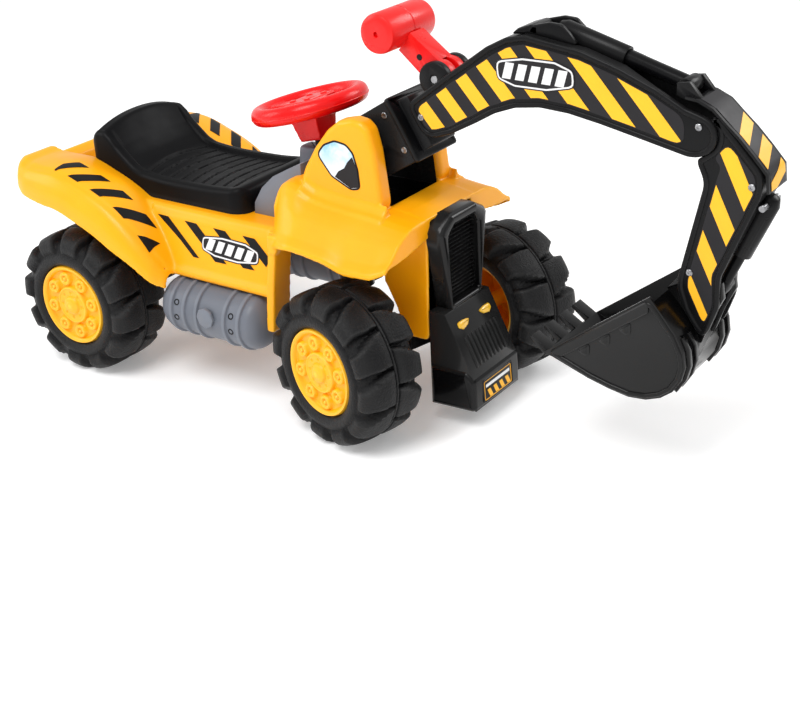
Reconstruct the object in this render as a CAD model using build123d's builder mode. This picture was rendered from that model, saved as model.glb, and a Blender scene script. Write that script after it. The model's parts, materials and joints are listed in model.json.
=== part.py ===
from build123d import *
from math import cos, radians, sin
import os

# Ride-on toy digger, millimetres. +X forward, +Y the rider's left, +Z up.
# The origin is on the ground, midway between the two axles.

os.makedirs("parts", exist_ok=True)

# ---- driving dimensions ----
WHEELBASE = 468.0
TYRE_R = 100.0
TYRE_W = 95.0
WHEEL_Y = 136.5        # wheel mid-plane from the centre line
STEER_REST = -14.0     # the front axle rests turned to the right
WALL = 3.0
FIT = 0.08             # radial clearance of a pin in its hole
AXLE_R = 6.0
RIM_R = 57.0           # tyre bore and wheel disc

REAR_X = -WHEELBASE / 2
FRONT_X = WHEELBASE / 2

TUB_TOP = 238.0        # deck that the seat stands on
LEDGE_Z = 159.0        # lower edge of the side panels
FENDER_Y = 165.0       # outer edge of the rear fenders
HOOD_Z = 282.0
COWL_Y = 143.0         # outer edge of the front fenders
TOWER_IN = 52.0        # inner and outer faces of the two cab towers
TOWER_OUT = 78.0
NOSE_Y = 50.0
GRILLE_Y = 57.0
BUMPER_Y = 51.0

COLUMN_TILT = 14.0     # steering column, leaning back to the rider
WHEEL_TOP = (66.0, 377.0)
STEER_ARM = 34.0
LINK_Z = 150.0

BOOM_Y = 30.0          # half-widths of the arm's parts
STICK_Y = 25.0
BUCKET_Y = 62.0
ARM_PIVOT = (200.0, 350.0)
LEVER = (275.0, 438.0)
ELBOW = (607.0, 419.0)
CRANK = (6.0, -20.0)   # from the lever pin, and from the elbow pin, to the pull rod's pins
BUCKET_PIN = (602.0, 242.0)
TOP_FOOT = (436.0, 507.0)
TOP_EYE = (585.0, 464.0)
LOW_FOOT = (680.0, 348.0)
LOW_EYE = (633.0, 243.0)
BOOM_PIN_R = 6.0
SMALL_PIN_R = 4.0
EYE_PLAY = 2.6         # clearance at the two cylinders' opened eyes


def upright(y):
    """The XZ plane standing at y; an extrusion from it runs towards -Y."""
    return Plane.XZ.offset(-y)


def slab(points, y_low, y_high, inset=0.0, mode=Mode.ADD):
    """An XZ outline made solid between two y values."""
    with BuildSketch(upright(y_high)) as profile:
        with BuildLine():
            Polyline(*points, close=True)
        make_face()
        if inset:
            offset(amount=-inset, kind=Kind.INTERSECTION, mode=Mode.REPLACE)
    extrude(profile.sketch, amount=y_high - y_low, mode=mode)


def between(side, near, far):
    """Two distances from the centre line as low and high y on one side."""
    return sorted((side * near, side * far))


def disc(centre, radius, y_low, y_high, mode=Mode.ADD):
    """A cylinder along Y at an XZ centre."""
    with BuildSketch(upright(y_high)) as profile:
        with Locations(centre):
            Circle(radius)
    extrude(profile.sketch, amount=y_high - y_low, mode=mode)


def brick(x_low, x_high, y_low, y_high, z_low, z_high, mode=Mode.ADD):
    """A box between the six given planes."""
    with BuildSketch(Plane.XY.offset(z_low)) as profile:
        with Locations(((x_low + x_high) / 2, (y_low + y_high) / 2)):
            Rectangle(x_high - x_low, y_high - y_low)
    extrude(profile.sketch, amount=z_high - z_low, mode=mode)


def spin(plane, points, mode=Mode.ADD):
    """Points (radius, height) turned about the plane's normal."""
    radial = Plane(origin=plane.origin, x_dir=plane.x_dir, z_dir=-plane.y_dir)
    with BuildSketch(radial) as profile:
        with BuildLine():
            Polyline(*points, close=True)
        make_face()
    revolve(profile.sketch, axis=Axis(plane.origin, plane.z_dir), mode=mode)


def save(builder, name):
    """Label a finished sub-part and write it."""
    builder.part.label = name
    export_step(builder.part, f"parts/{name}.step")


def along(start, end, distance):
    """The XZ point at a distance from start on the way to end."""
    run = ((end[0] - start[0]) ** 2 + (end[1] - start[1]) ** 2) ** 0.5
    return tuple(a + (b - a) * distance / run for a, b in zip(start, end))


# ---- rear body ----
# Stations along a rear fender: x, outer y, crest y, crest z, edge z
FENDER = [
    (-352, 132, 118, 266, 232),
    (-315, 160, 138, 279, 246),
    (-270, FENDER_Y, 142, 283, 238),
    (-210, FENDER_Y, 142, 267, 221),
    (-166, FENDER_Y, 142, 247, 199),
    (-129, FENDER_Y - 3, 138, 217, 180),
    (-104, FENDER_Y - 8, 132, 190, 160),
    (-88, 146, 124, 176, 152),
]
FENDER_ROOT = 86.0

with BuildPart() as body_shell:
    # side panels and deck, a trapezoid open below
    with BuildSketch(Plane.YZ.offset(-142)):
        with BuildLine():
            Polyline((-96, TUB_TOP), (96, TUB_TOP), (121, LEDGE_Z), (-121, LEDGE_Z), close=True)
        make_face()
    extrude(amount=214)
    brick(-352, -120, -FENDER_ROOT, FENDER_ROOT, LEDGE_Z, TUB_TOP)
    with BuildSketch(Plane.YZ.offset(-120)):
        with BuildLine():
            Polyline((-92, TUB_TOP - WALL), (92, TUB_TOP - WALL),
                     (117, LEDGE_Z - 1), (-117, LEDGE_Z - 1), close=True)
        make_face()
    extrude(amount=189, mode=Mode.SUBTRACT)
    brick(-349, -110, -FENDER_ROOT + WALL, FENDER_ROOT - WALL, LEDGE_Z - 1, TUB_TOP - WALL,
          mode=Mode.SUBTRACT)
    # the rear wall is cut back to the kick-up of the tail
    slab([(-360, 150), (-360, 228), (-300, 200), (-270, 150)], -130, 130, mode=Mode.SUBTRACT)
    for side in (1, -1):
        for x, y_out, y_crest, z_crest, z_edge in FENDER:
            with BuildSketch(Plane.YZ.offset(x)):
                with BuildLine():
                    Polyline((side * (FENDER_ROOT - 1), z_crest - 2),
                             (side * y_crest, z_crest), (side * y_out, z_edge),
                             (side * (y_out - WALL), z_edge),
                             (side * (y_crest - WALL), z_crest - WALL),
                             (side * (FENDER_ROOT - 1), z_crest - 2 - WALL), close=True)
                make_face()
        loft(ruled=True)
        # inner wall, from the deck up to the fender's top
        slab([(-352, 233), (-352, 265), (-315, 277), (-270, 281), (-210, 265), (-166, 245),
              (-140, 233)], side * FENDER_ROOT - WALL / 2, side * FENDER_ROOT + WALL / 2)
    # tail wall between the fenders
    slab([(-354, 232), (-352, 262), (-348, 262), (-350, 232)], -118, 118)
save(body_shell, "body_shell")

# ---- seat ----
SEAT_REAR, SEAT_FRONT, SEAT_Y, SEAT_Z = -266.0, 6.0, 80.0, 268.0
SEAT_SIDE = [
    (SEAT_REAR, TUB_TOP + 1), (SEAT_REAR + 4, 300), (-252, 326), (-242, 330), (-232, 327),
    (-205, 282), (-180, SEAT_Z), (-8, SEAT_Z), (SEAT_FRONT, 258), (SEAT_FRONT, TUB_TOP + 1),
]
with BuildPart() as seat:
    slab(SEAT_SIDE, -SEAT_Y, SEAT_Y)
    fillet(seat.edges().filter_by(Axis.Z), 12)
    slab([(SEAT_REAR, TUB_TOP - 9)] + SEAT_SIDE[1:-1] + [(SEAT_FRONT, TUB_TOP - 9)],
         -SEAT_Y + 2, SEAT_Y - 2, inset=WALL + 1, mode=Mode.SUBTRACT)
    # dished pad with cross grooves
    brick(-180, -38, -64, 64, SEAT_Z - 2, SEAT_Z + 1, mode=Mode.SUBTRACT)
save(seat, "seat")

# ---- wheels ----
REAR_AXLE = Plane(origin=(REAR_X, 0, TYRE_R), x_dir=(1, 0, 0), z_dir=(0, 0, 1))
turn = radians(STEER_REST)
FRONT_AXLE = Plane(origin=(FRONT_X, 0, TYRE_R), x_dir=(cos(turn), sin(turn), 0),
                   z_dir=(0, 0, 1))
HALF_W = TYRE_W / 2
LUGS = 12
LUG_BASE = 88.0
SKIN = 4.0             # wall of the moulded wheels


def outboard(axle, side, distance):
    """A plane across an axle, its normal pointing outwards on one side."""
    lateral = axle.y_dir * side
    return Plane(origin=axle.origin + lateral * distance, x_dir=axle.x_dir, z_dir=lateral)


bore = AXLE_R + FIT
for corner, axle, side in (("rear_left", REAR_AXLE, 1), ("rear_right", REAR_AXLE, -1),
                           ("front_left", FRONT_AXLE, 1), ("front_right", FRONT_AXLE, -1)):
    mid = outboard(axle, side, WHEEL_Y)
    with BuildPart() as tyre:
        spin(mid, [(RIM_R, -HALF_W), (74, -HALF_W), (81, -HALF_W + 5), (LUG_BASE, -30),
                   (LUG_BASE + 2, 0), (LUG_BASE, 30), (81, HALF_W - 5), (74, HALF_W),
                   (RIM_R, HALF_W)])
        # hollow moulding, open at the bore
        spin(mid, [(RIM_R - 1, -HALF_W + SKIN), (74, -HALF_W + SKIN), (79, -HALF_W + 9),
                   (LUG_BASE - SKIN, -28), (LUG_BASE - SKIN, 28), (79, HALF_W - 9),
                   (74, HALF_W - SKIN), (RIM_R - 1, HALF_W - SKIN)], mode=Mode.SUBTRACT)
        for row, start in ((-1, 0.0), (1, 180.0 / LUGS)):
            with BuildSketch(mid.offset(4 if row > 0 else -42)):
                with PolarLocations(LUG_BASE + 2, LUGS, start_angle=start):
                    Rectangle(24, 30)
            extrude(amount=38)
            with BuildSketch(mid.offset(4 + SKIN if row > 0 else SKIN - 42)):
                with PolarLocations(LUG_BASE, LUGS, start_angle=start):
                    Rectangle(16, 30 - 2 * SKIN)
            extrude(amount=38 - 2 * SKIN, mode=Mode.SUBTRACT)
        # the lugs end on the tyre's outer diameter
        spin(mid, [(TYRE_R, -HALF_W), (TYRE_R + 30, -HALF_W), (TYRE_R + 30, HALF_W),
                   (TYRE_R, HALF_W)], mode=Mode.SUBTRACT)
    save(tyre, f"tyre_{corner}")

    with BuildPart() as hub:
        spin(mid, [(bore, -46), (bore + SKIN, -46), (bore + SKIN, 38), (RIM_R - SKIN, 38),
                   (RIM_R - SKIN, -40), (RIM_R - 0.1, -40), (RIM_R - 0.1, 45), (53, 46),
                   (50, 42), (24, 42), (22, 44), (bore, 44)])
        with BuildSketch(mid.offset(41)):
            with PolarLocations(38, 8):
                Circle(7.5)
                Circle(4, mode=Mode.SUBTRACT)
        extrude(amount=4)
    save(hub, f"hub_{corner}")

for name, axle in (("rear", REAR_AXLE), ("front", FRONT_AXLE)):
    with BuildPart() as rod:
        with BuildSketch(outboard(axle, 1, 0)):
            Circle(AXLE_R)
        extrude(amount=WHEEL_Y + 44.3, both=True)
    save(rod, f"{name}_axle")
    with BuildPart() as caps:
        for side in (1, -1):
            spin(outboard(axle, side, WHEEL_Y + 44.35), [(0, 0), (10, 0), (9, 2.4), (5, 4), (0, 4.4)])
    save(caps, f"{name}_axle_caps")

# ---- rear axle block, which is also the flat underside ----
AXLE_BLOCK_Z = 84.0
SPACER_R = 10.0        # tubes that keep the wheels out on both axles
SPACER_Y = WHEEL_Y - 46.5
with BuildPart() as rear_axle_block:
    brick(REAR_X - 24, REAR_X + 24, -80, 80, AXLE_BLOCK_Z, LEDGE_Z + 20)
    for y in (-40, 40):
        brick(REAR_X - 20, REAR_X + 20, y - 37, y + 37, AXLE_BLOCK_Z + 4, LEDGE_Z + 21,
              mode=Mode.SUBTRACT)
    brick(REAR_X - 90, REAR_X + 120, -20, 20, LEDGE_Z + 20, LEDGE_Z + 30)
    for x in (REAR_X - 84, REAR_X + 108):
        brick(x, x + 12, -20, 20, LEDGE_Z + 30, TUB_TOP - WALL - 0.2)
    disc((REAR_X, TYRE_R), SPACER_R, -SPACER_Y, SPACER_Y)
    disc((REAR_X, TYRE_R), AXLE_R + FIT, -SPACER_Y, SPACER_Y, mode=Mode.SUBTRACT)
save(rear_axle_block, "rear_axle_block")

# ---- side tanks ----
TANK_Y, TANK_Z, TANK_R = 112.0, 113.0, 39.0
for name, side in (("left", 1), ("right", -1)):
    tank_line = Plane(origin=(0, side * TANK_Y, TANK_Z), x_dir=(0, 0, 1), z_dir=(1, 0, 0))
    with BuildPart() as side_tank:
        outline = [(0, -98), (30, -98), (37, -88), (TANK_R, -82), (TANK_R, 32), (36, 47),
                   (28, 61), (14, 68), (0, 70)]
        spin(tank_line, outline)
        spin(tank_line, [(r - 3 if r > 3 else 0, min(max(x, -95), 67)) for r, x in outline],
             mode=Mode.SUBTRACT)
        for x in (-78, -56, -34, 14, 38):
            spin(tank_line, [(TANK_R - 2, x), (TANK_R + 1.6, x), (TANK_R + 1.6, x + 6),
                             (TANK_R - 2, x + 6)])
        # strap up to the side panel
        for x in (-60, 20):
            brick(x, x + 20, *between(side, 102, 111), TANK_Z + TANK_R - 3,
                  LEDGE_Z + 14)
    save(side_tank, f"side_tank_{name}")

    with BuildPart() as badge:
        badge_plane = Plane(origin=(-12, side * (TANK_Y + TANK_R - 2), TANK_Z + 6),
                            x_dir=(1, 0, 0), z_dir=(0, side, 0))
        with BuildSketch(badge_plane):
            RegularPolygon(14, 8)
        extrude(amount=5)
    save(badge, f"tank_badge_{name}")

# ---- front cowl: hood, front fenders, two cab towers, nose ----
# Stations along the hood: x, outer y, edge z
HOOD = [(94, 133, 243), (102, 138, 237), (130, COWL_Y, 243), (180, COWL_Y, 238),
        (215, COWL_Y, 227), (248, COWL_Y, 229), (271.8, COWL_Y - 2, 238)]
TOWER_SIDE = [(94, HOOD_Z - 4), (100, 312), (112, 338), (132, 361), (154, 381), (178, 391),
              (204, 391), (214, 386), (236, HOOD_Z - 4)]
LEG_SIDE = [(74, 262), (96, 262), (98, 232), (91, 175), (84, 112), (72, 112), (74, 160)]
LEG_IN, LEG_OUT = 104.0, 138.0
with BuildPart() as front_cowl:
    for side in (1, -1):
        for x, y_out, z_edge in HOOD:
            with BuildSketch(Plane.YZ.offset(x)):
                with BuildLine():
                    Polyline((side * 51, HOOD_Z), (side * 84, HOOD_Z), (side * 112, HOOD_Z - 12),
                             (side * y_out, z_edge), (side * (y_out - WALL), z_edge),
                             (side * (112 - WALL), HOOD_Z - 12 - WALL),
                             (side * (84 - 1), HOOD_Z - WALL), (side * 51, HOOD_Z - WALL),
                             close=True)
                make_face()
        loft(ruled=True)
        slab(TOWER_SIDE, *between(side, TOWER_IN, TOWER_OUT))
        slab([(x, z - WALL if z < HOOD_Z else z) for x, z in TOWER_SIDE],
             *between(side, TOWER_IN + WALL, TOWER_OUT - WALL), inset=WALL, mode=Mode.SUBTRACT)
        # shoulder behind the tower, and the leg down to the side panel, hollow from inside
        slab([(76, 246), (76, 294), (84, 301), (98, 301), (150, HOOD_Z - 2), (150, HOOD_Z - 5),
              (86, 246)], *between(side, TOWER_OUT, 112))
        slab(LEG_SIDE, *between(side, LEG_IN, LEG_OUT))
        slab(LEG_SIDE, *between(side, LEG_IN - 1, LEG_OUT - 4), inset=WALL, mode=Mode.SUBTRACT)
        # nose side panel, and the web that joins it to the hood
        slab([(203, 255), (224, 255), (224, HOOD_Z), (272, HOOD_Z), (268, 112), (232, 112),
              (206, 180)], *between(side, NOSE_Y - WALL, NOSE_Y))
    brick(223, 272, -52, 52, HOOD_Z - WALL, HOOD_Z)
    disc(ARM_PIVOT, BOOM_PIN_R + FIT, -100, 100, mode=Mode.SUBTRACT)
save(front_cowl, "front_cowl")

# bearing that carries the front axle's post, hung between the nose panels
POST_R = 13.0
BEARING_Z = (206.0, 236.0)
with BuildPart() as steering_bearing:
    brick(206, 262, -NOSE_Y + WALL, NOSE_Y - WALL, *BEARING_Z)
    with Locations(Plane.XY.offset(BEARING_Z[1])):
        with Locations((FRONT_X, 0)):
            Hole(POST_R + FIT)
save(steering_bearing, "steering_bearing")

# ---- black liner of the arm's well ----
LINER_Y = 50.8
with BuildPart() as cavity_liner:
    brick(112, 222, -LINER_Y, LINER_Y, 258, HOOD_Z - WALL - 0.2)
    brick(115, 219, -LINER_Y + 2, LINER_Y - 2, 261, HOOD_Z, mode=Mode.SUBTRACT)
    slab([(112, 270), (112, 338), (131, 361), (134, 359), (115, 336), (115, 270)],
         -LINER_Y, LINER_Y)
save(cavity_liner, "cavity_liner")

# ---- dash arch between seat and cab, with the column's shroud ----
tilt = radians(COLUMN_TILT)
COLUMN_UP = Vector(-sin(tilt), 0, cos(tilt))
COLUMN_FORE = Vector(cos(tilt), 0, sin(tilt))
WHEEL_PLANE = Plane(origin=(WHEEL_TOP[0], 0, WHEEL_TOP[1]), x_dir=COLUMN_FORE, z_dir=COLUMN_UP)
ROD_R = 6.0

DASH = [(10, TUB_TOP + 0.5), (12, 254), (26, 276), (46, 294), (70, 307), (93, 318),
        (93, 280), (62, 262), (52, TUB_TOP + 0.5)]
with BuildPart() as dash_panel:
    slab(DASH, -61, 61)
    slab([(DASH[0][0], TUB_TOP - 6)] + DASH[1:-1] + [(DASH[-1][0], TUB_TOP - 6)], -58, 58,
         inset=WALL, mode=Mode.SUBTRACT)
    spin(WHEEL_PLANE, [(0, -200), (ROD_R + 4, -200), (ROD_R + 4, -30), (0, -30)],
         mode=Mode.SUBTRACT)
save(dash_panel, "dash_panel")

with BuildPart() as column_shroud:
    with BuildSketch(Plane.XY.offset(284)):
        with Locations((66, 0)):
            RectangleRounded(50, 44, 16)
    extrude(amount=38)
    slab([(30, 280), (30, 286.4), (46, 294.8), (70, 307.8), (93, 318.8), (110, 327), (110, 280)],
         -30, 30, mode=Mode.SUBTRACT)
    spin(WHEEL_PLANE, [(0, -200), (ROD_R + 4, -200), (ROD_R + 4, -20), (0, -20)],
         mode=Mode.SUBTRACT)
save(column_shroud, "column_shroud")

# ---- grille, headlights and bumper ----
with BuildPart() as grille_frame:
    with BuildSketch(Plane.YZ.offset(272.2)):
        with BuildLine():
            Polyline((-GRILLE_Y, 152), (-GRILLE_Y, 262), (-48, 278), (-34, 286), (34, 286),
                     (48, 278), (GRILLE_Y, 262), (GRILLE_Y, 152), close=True)
        make_face()
    extrude(amount=22)
    with BuildSketch(Plane.YZ.offset(272)):
        with BuildLine():
            Polyline((-34, 160), (-34, 262), (-26, 270), (26, 270), (34, 262), (34, 160),
                     close=True)
        make_face()
    extrude(amount=30, mode=Mode.SUBTRACT)
save(grille_frame, "grille_frame")

with BuildPart() as grille_slats:
    brick(274, 278, -33.8, 33.8, 160.2, 261.8)
    for i in range(14):
        z = 165 + 7 * i
        brick(278, 284, -33.8, 33.8, z, z + 3)
save(grille_slats, "grille_slats")

BUMPER_SIDE = [(272.2, 24), (339, 28), (336, 72), (296, 151.8), (272.2, 151.8)]
with BuildPart() as bumper:
    slab(BUMPER_SIDE, -BUMPER_Y, BUMPER_Y)
    slab([(262, 24)] + BUMPER_SIDE[1:-1] + [(262, 151.8)], -BUMPER_Y + WALL, BUMPER_Y - WALL,
         inset=WALL, mode=Mode.SUBTRACT)
    # stays that carry the bumper from the nose panels
    for side in (1, -1):
        brick(250, 290, *between(side, NOSE_Y - 9, NOSE_Y - 3.2), 122, 151)
save(bumper, "bumper")

BUMPER_FACE = Plane(origin=(337.6, 0, 49), x_dir=(0, 1, 0), z_dir=(cos(0.068), 0, sin(0.068)))
with BuildPart() as bumper_plate:
    with BuildSketch(BUMPER_FACE.offset(0.1)):
        RectangleRounded(70, 32, 3)
    extrude(amount=1.6)
save(bumper_plate, "bumper_plate")

SLOPE_FACE = Plane(origin=(299, 0, 146), x_dir=(0, 1, 0), z_dir=(0.894, 0, 0.448))
with BuildPart() as headlights:
    for side in (1, -1):
        with BuildSketch(SLOPE_FACE.offset(0.1)):
            with BuildLine():
                Polyline((side * 12, -10), (side * 30, -3), (side * 40, 4), (side * 22, 1),
                         close=True)
            make_face()
        extrude(amount=1.6)
save(headlights, "headlights")

# ---- front axle bracket, turning about a vertical post ----
with BuildPart() as axle_bracket:
    with BuildSketch(FRONT_AXLE.offset(-13)):
        Rectangle(30, 84)
    extrude(amount=25)
    spin(FRONT_AXLE, [(0, 11), (POST_R, 11), (POST_R, 148), (0, 148)])
    spin(FRONT_AXLE, [(0, BEARING_Z[1] - TYRE_R + 0.4), (18, BEARING_Z[1] - TYRE_R + 0.4),
                      (18, 145), (0, 145)])
    # arm to the drag link
    with BuildSketch(FRONT_AXLE.offset(LINK_Z - TYRE_R - 12)):
        with Locations((0, STEER_ARM / 2)):
            Rectangle(14, STEER_ARM)
        with Locations((0, STEER_ARM)):
            Circle(7)
    extrude(amount=6)
    with BuildSketch(FRONT_AXLE.offset(LINK_Z - TYRE_R - 7)):
        with Locations((0, STEER_ARM)):
            Circle(3.5)
    extrude(amount=16)
    with BuildSketch(outboard(FRONT_AXLE, 1, 0)):
        Circle(SPACER_R)
    extrude(amount=SPACER_Y, both=True)
    with BuildSketch(outboard(FRONT_AXLE, 1, 0)):
        Circle(AXLE_R + FIT)
    extrude(amount=SPACER_Y, both=True, mode=Mode.SUBTRACT)
save(axle_bracket, "axle_bracket")

# ---- steering: column, crank, drag link, wheel, horn ----
CRANK_DROP = (WHEEL_TOP[1] - LINK_Z) / cos(tilt)
CRANK_PLANE = Plane(origin=WHEEL_PLANE.origin - COLUMN_UP * CRANK_DROP,
                    x_dir=COLUMN_FORE * cos(turn) + Vector(0, sin(turn), 0), z_dir=COLUMN_UP)
with BuildPart() as steering_column:
    spin(WHEEL_PLANE, [(0, -CRANK_DROP - 15), (22, -CRANK_DROP - 15), (22, -142), (ROD_R, -132),
                       (ROD_R, -6), (0, -6)])
    with BuildSketch(CRANK_PLANE.offset(-15)):
        with Locations((0, STEER_ARM / 2 + 6)):
            Rectangle(14, STEER_ARM - 12)
        with Locations((0, STEER_ARM)):
            Circle(7)
    extrude(amount=6)
    with BuildSketch(CRANK_PLANE.offset(-10)):
        with Locations((0, STEER_ARM)):
            Circle(3.5)
    extrude(amount=20)
save(steering_column, "steering_column")

front_eye = FRONT_AXLE.from_local_coords((0, STEER_ARM, 0))
rear_eye = CRANK_PLANE.from_local_coords((0, STEER_ARM, 0))
LINK_T = 5.0
with BuildPart() as drag_link:
    with BuildSketch(Plane.XY.offset(LINK_Z - LINK_T / 2)):
        with Locations(((front_eye.X + rear_eye.X) / 2, front_eye.Y)):
            Rectangle(front_eye.X - rear_eye.X, 10)
        with Locations((front_eye.X, front_eye.Y)):
            Circle(8)
        with Locations((rear_eye.X, rear_eye.Y)):
            Circle(10)
        with Locations((front_eye.X, front_eye.Y)):
            Circle(3.5 + FIT, mode=Mode.SUBTRACT)
        with Locations((rear_eye.X, rear_eye.Y)):
            Circle(3.5 + EYE_PLAY, mode=Mode.SUBTRACT)
    extrude(amount=LINK_T)
save(drag_link, "drag_link")

RIM_MAJOR = 67.0
with BuildPart() as steering_wheel:
    spin(WHEEL_PLANE, [(RIM_MAJOR - 9, -3), (RIM_MAJOR - 8, -9), (RIM_MAJOR, -13),
                       (RIM_MAJOR + 8, -9), (RIM_MAJOR + 10, -1), (RIM_MAJOR + 8, 7),
                       (RIM_MAJOR, 11), (RIM_MAJOR - 8, 7)])
    with BuildSketch(WHEEL_PLANE.offset(-10)):
        Rectangle(2 * RIM_MAJOR, 20)
        Rectangle(18, 2 * RIM_MAJOR)
    extrude(amount=10)
    with BuildSketch(WHEEL_PLANE.offset(-10)):
        RectangleRounded(44, 62, 8)
    extrude(amount=14)
    with BuildSketch(WHEEL_PLANE.offset(-9)):
        RectangleRounded(46, 46, 6)
    with BuildSketch(WHEEL_PLANE.offset(-46)):
        RectangleRounded(34, 34, 6)
    loft()
    with BuildSketch(WHEEL_PLANE.offset(-47)):
        Circle(ROD_R + FIT)
    extrude(amount=42, mode=Mode.SUBTRACT)
    # pocket of the horn button
    with BuildSketch(WHEEL_PLANE.offset(-1)):
        Circle(11.3)
    extrude(amount=6, mode=Mode.SUBTRACT)
save(steering_wheel, "steering_wheel")

with BuildPart() as horn_button:
    spin(WHEEL_PLANE, [(0, 1.4), (11, 1.4), (11, 6), (8, 7.6), (0, 8)])
save(horn_button, "horn_button")

# ---- arm: block between the towers, flange, boom halves ----
AIM = radians(31.0)                       # boom's direction at its root
FLANGE = (234.5, 374.5)
ROOT_PLANE = Plane(origin=(FLANGE[0], 0, FLANGE[1]), x_dir=(0, 1, 0),
                   z_dir=(cos(AIM), 0, sin(AIM)))


def root_point(ahead, above):
    """XZ point measured along and across the boom's root."""
    return (FLANGE[0] + ahead * cos(AIM) - above * sin(AIM),
            FLANGE[1] + ahead * sin(AIM) + above * cos(AIM))


BLOCK_Y = 40.0
block_outline = [root_point(*p) for p in ((-1, -40), (-1, 40), (-62, 40), (-74, 26), (-74, -26),
                                          (-62, -40))]
with BuildPart() as arm_block:
    slab(block_outline, -BLOCK_Y, BLOCK_Y)
    slab([root_point(*p) for p in ((4, -36), (4, 36), (-60, 36), (-70, 24), (-70, -24), (-60, -36))],
         -BLOCK_Y + WALL, BLOCK_Y - WALL, mode=Mode.SUBTRACT)
    for y in (-BLOCK_Y + WALL, BLOCK_Y - WALL - 10):
        disc(ARM_PIVOT, 12, y, y + 10)
    disc(ARM_PIVOT, BOOM_PIN_R + FIT, -60, 60, mode=Mode.SUBTRACT)
save(arm_block, "arm_block")

with BuildPart() as arm_flange:
    with BuildSketch(ROOT_PLANE.offset(-0.9)):
        RectangleRounded(2 * BLOCK_Y + 6, 84, 4)
    extrude(amount=7)
    with BuildSketch(ROOT_PLANE.offset(6)):
        Rectangle(2 * BOOM_Y - 8, 66)
    extrude(amount=15.6)
save(arm_flange, "arm_flange")

with BuildPart() as arm_pin:
    disc(ARM_PIVOT, BOOM_PIN_R, -TOWER_OUT - 1, TOWER_OUT + 1)
save(arm_pin, "arm_pin")

BOOM_OUTLINE = [(237, 405), (241, 415), (283, 440), (322, 466), (350, 487), (375, 501),
                (400, 505), (426, 501), (470, 495), (517, 481), (560, 464), (600, 442),
                (630, 430), (630, 408), (612, 396), (598, 394), (548, 405), (494, 416),
                (455, 423), (419, 425), (387, 420), (360, 410), (334, 395), (300, 377),
                (262, 364)]
ELBOW_R = 23.5
BOOM_SKIN = 4.0
cyl_start = along(TOP_FOOT, TOP_EYE, -16)
cyl_end = along(TOP_FOOT, TOP_EYE, 190)
TROUGH = Plane(origin=(cyl_start[0], 0, cyl_start[1]), x_dir=(0, 1, 0),
               z_dir=(cyl_end[0] - cyl_start[0], 0, cyl_end[1] - cyl_start[1]))
for name, side in (("left", 1), ("right", -1)):
    with BuildPart() as boom_half:
        slab([p for p in BOOM_OUTLINE if p[0] < 606], *between(side, 0.05, BOOM_Y))
        disc(ELBOW, ELBOW_R, *between(side, 0.05, BOOM_Y))
        slab([p for p in BOOM_OUTLINE if p[0] < 606], *between(side, -1, BOOM_Y - BOOM_SKIN),
             inset=BOOM_SKIN, mode=Mode.SUBTRACT)
        # room for the elbow's hub, the lever's drum and the top cylinder
        disc(ELBOW, 34, *between(side, -1, STICK_Y + 0.6), mode=Mode.SUBTRACT)
        slab([(570, 380), (640, 380), (640, 474), (557, 474), (560, 440)],
             *between(side, -1, STICK_Y + 0.6), mode=Mode.SUBTRACT)
        # the top cylinder dips into the boom as the stick swings out
        slab([(505, 490), (505, 466), (540, 448), (580, 436), (600, 470)], *between(side, -1, 15.5),
             mode=Mode.SUBTRACT)
        disc(LEVER, 25, *between(side, -1, BOOM_Y - BOOM_SKIN), mode=Mode.SUBTRACT)
        with BuildSketch(TROUGH):
            Circle(14.5)
        extrude(amount=230, mode=Mode.SUBTRACT)
        slab([root_point(*p) for p in ((-4, -60), (-4, 34.5), (22, 34.5), (22, -60))],
             *between(side, -1, BOOM_Y - 3.5), mode=Mode.SUBTRACT)
        disc(LEVER, 5 + FIT, -60, 60, mode=Mode.SUBTRACT)
        disc(ELBOW, BOOM_PIN_R + FIT, -60, 60, mode=Mode.SUBTRACT)
    save(boom_half, f"boom_{name}")

with BuildPart() as lever_discs:
    for side in (1, -1):
        disc(LEVER, 21, *between(side, 15.5, 25.8))
    disc(LEVER, 5 + FIT, -60, 60, mode=Mode.SUBTRACT)
save(lever_discs, "lever_discs")

with BuildPart() as boom_pins:
    disc(LEVER, 5, -29, 29)
    disc(ELBOW, BOOM_PIN_R, -29.5, 29.5)
save(boom_pins, "boom_pins")

LUG_IN, LUG_OUT = 13.5, 20.0
with BuildPart() as cylinder_mount:
    for side in (1, -1):
        lug = between(side, LUG_IN, LUG_OUT)
        slab([(400, 505.2), (404, 512), (422, 516), (450, 512), (462, 496.4), (426, 501.3)], *lug)
    slab([(376, 501.4), (384, 508), (404, 514), (411, 514), (411, 503.8), (400, 505.3)], -20, 20)
    disc(TOP_FOOT, SMALL_PIN_R, -LUG_OUT, LUG_OUT)
save(cylinder_mount, "cylinder_mount")

# ---- lever: drum, arm and T grip ----
GRIP = (210.0, 489.0)
GRIP_R = 24.0
GRIP_HALF = 47.0
LEVER_PIN = (LEVER[0] + CRANK[0], LEVER[1] + CRANK[1])
LEVER_RUN = ((GRIP[0] - LEVER[0]) ** 2 + (GRIP[1] - LEVER[1]) ** 2) ** 0.5
LEVER_ARM_Y = 14.0


def lever_outline(margin):
    """Tapered side outline of the lever's arm, from the drum into the grip."""
    across = ((GRIP[1] - LEVER[1]) / LEVER_RUN, (LEVER[0] - GRIP[0]) / LEVER_RUN)
    tip = along(LEVER, GRIP, LEVER_RUN - GRIP_R + 2 + margin)
    wide, narrow = 16 + margin, 14 + margin
    return [(x + across[0] * half, z + across[1] * half)
            for (x, z), half in ((LEVER, wide), (tip, narrow), (tip, -narrow), (LEVER, -wide))]


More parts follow.
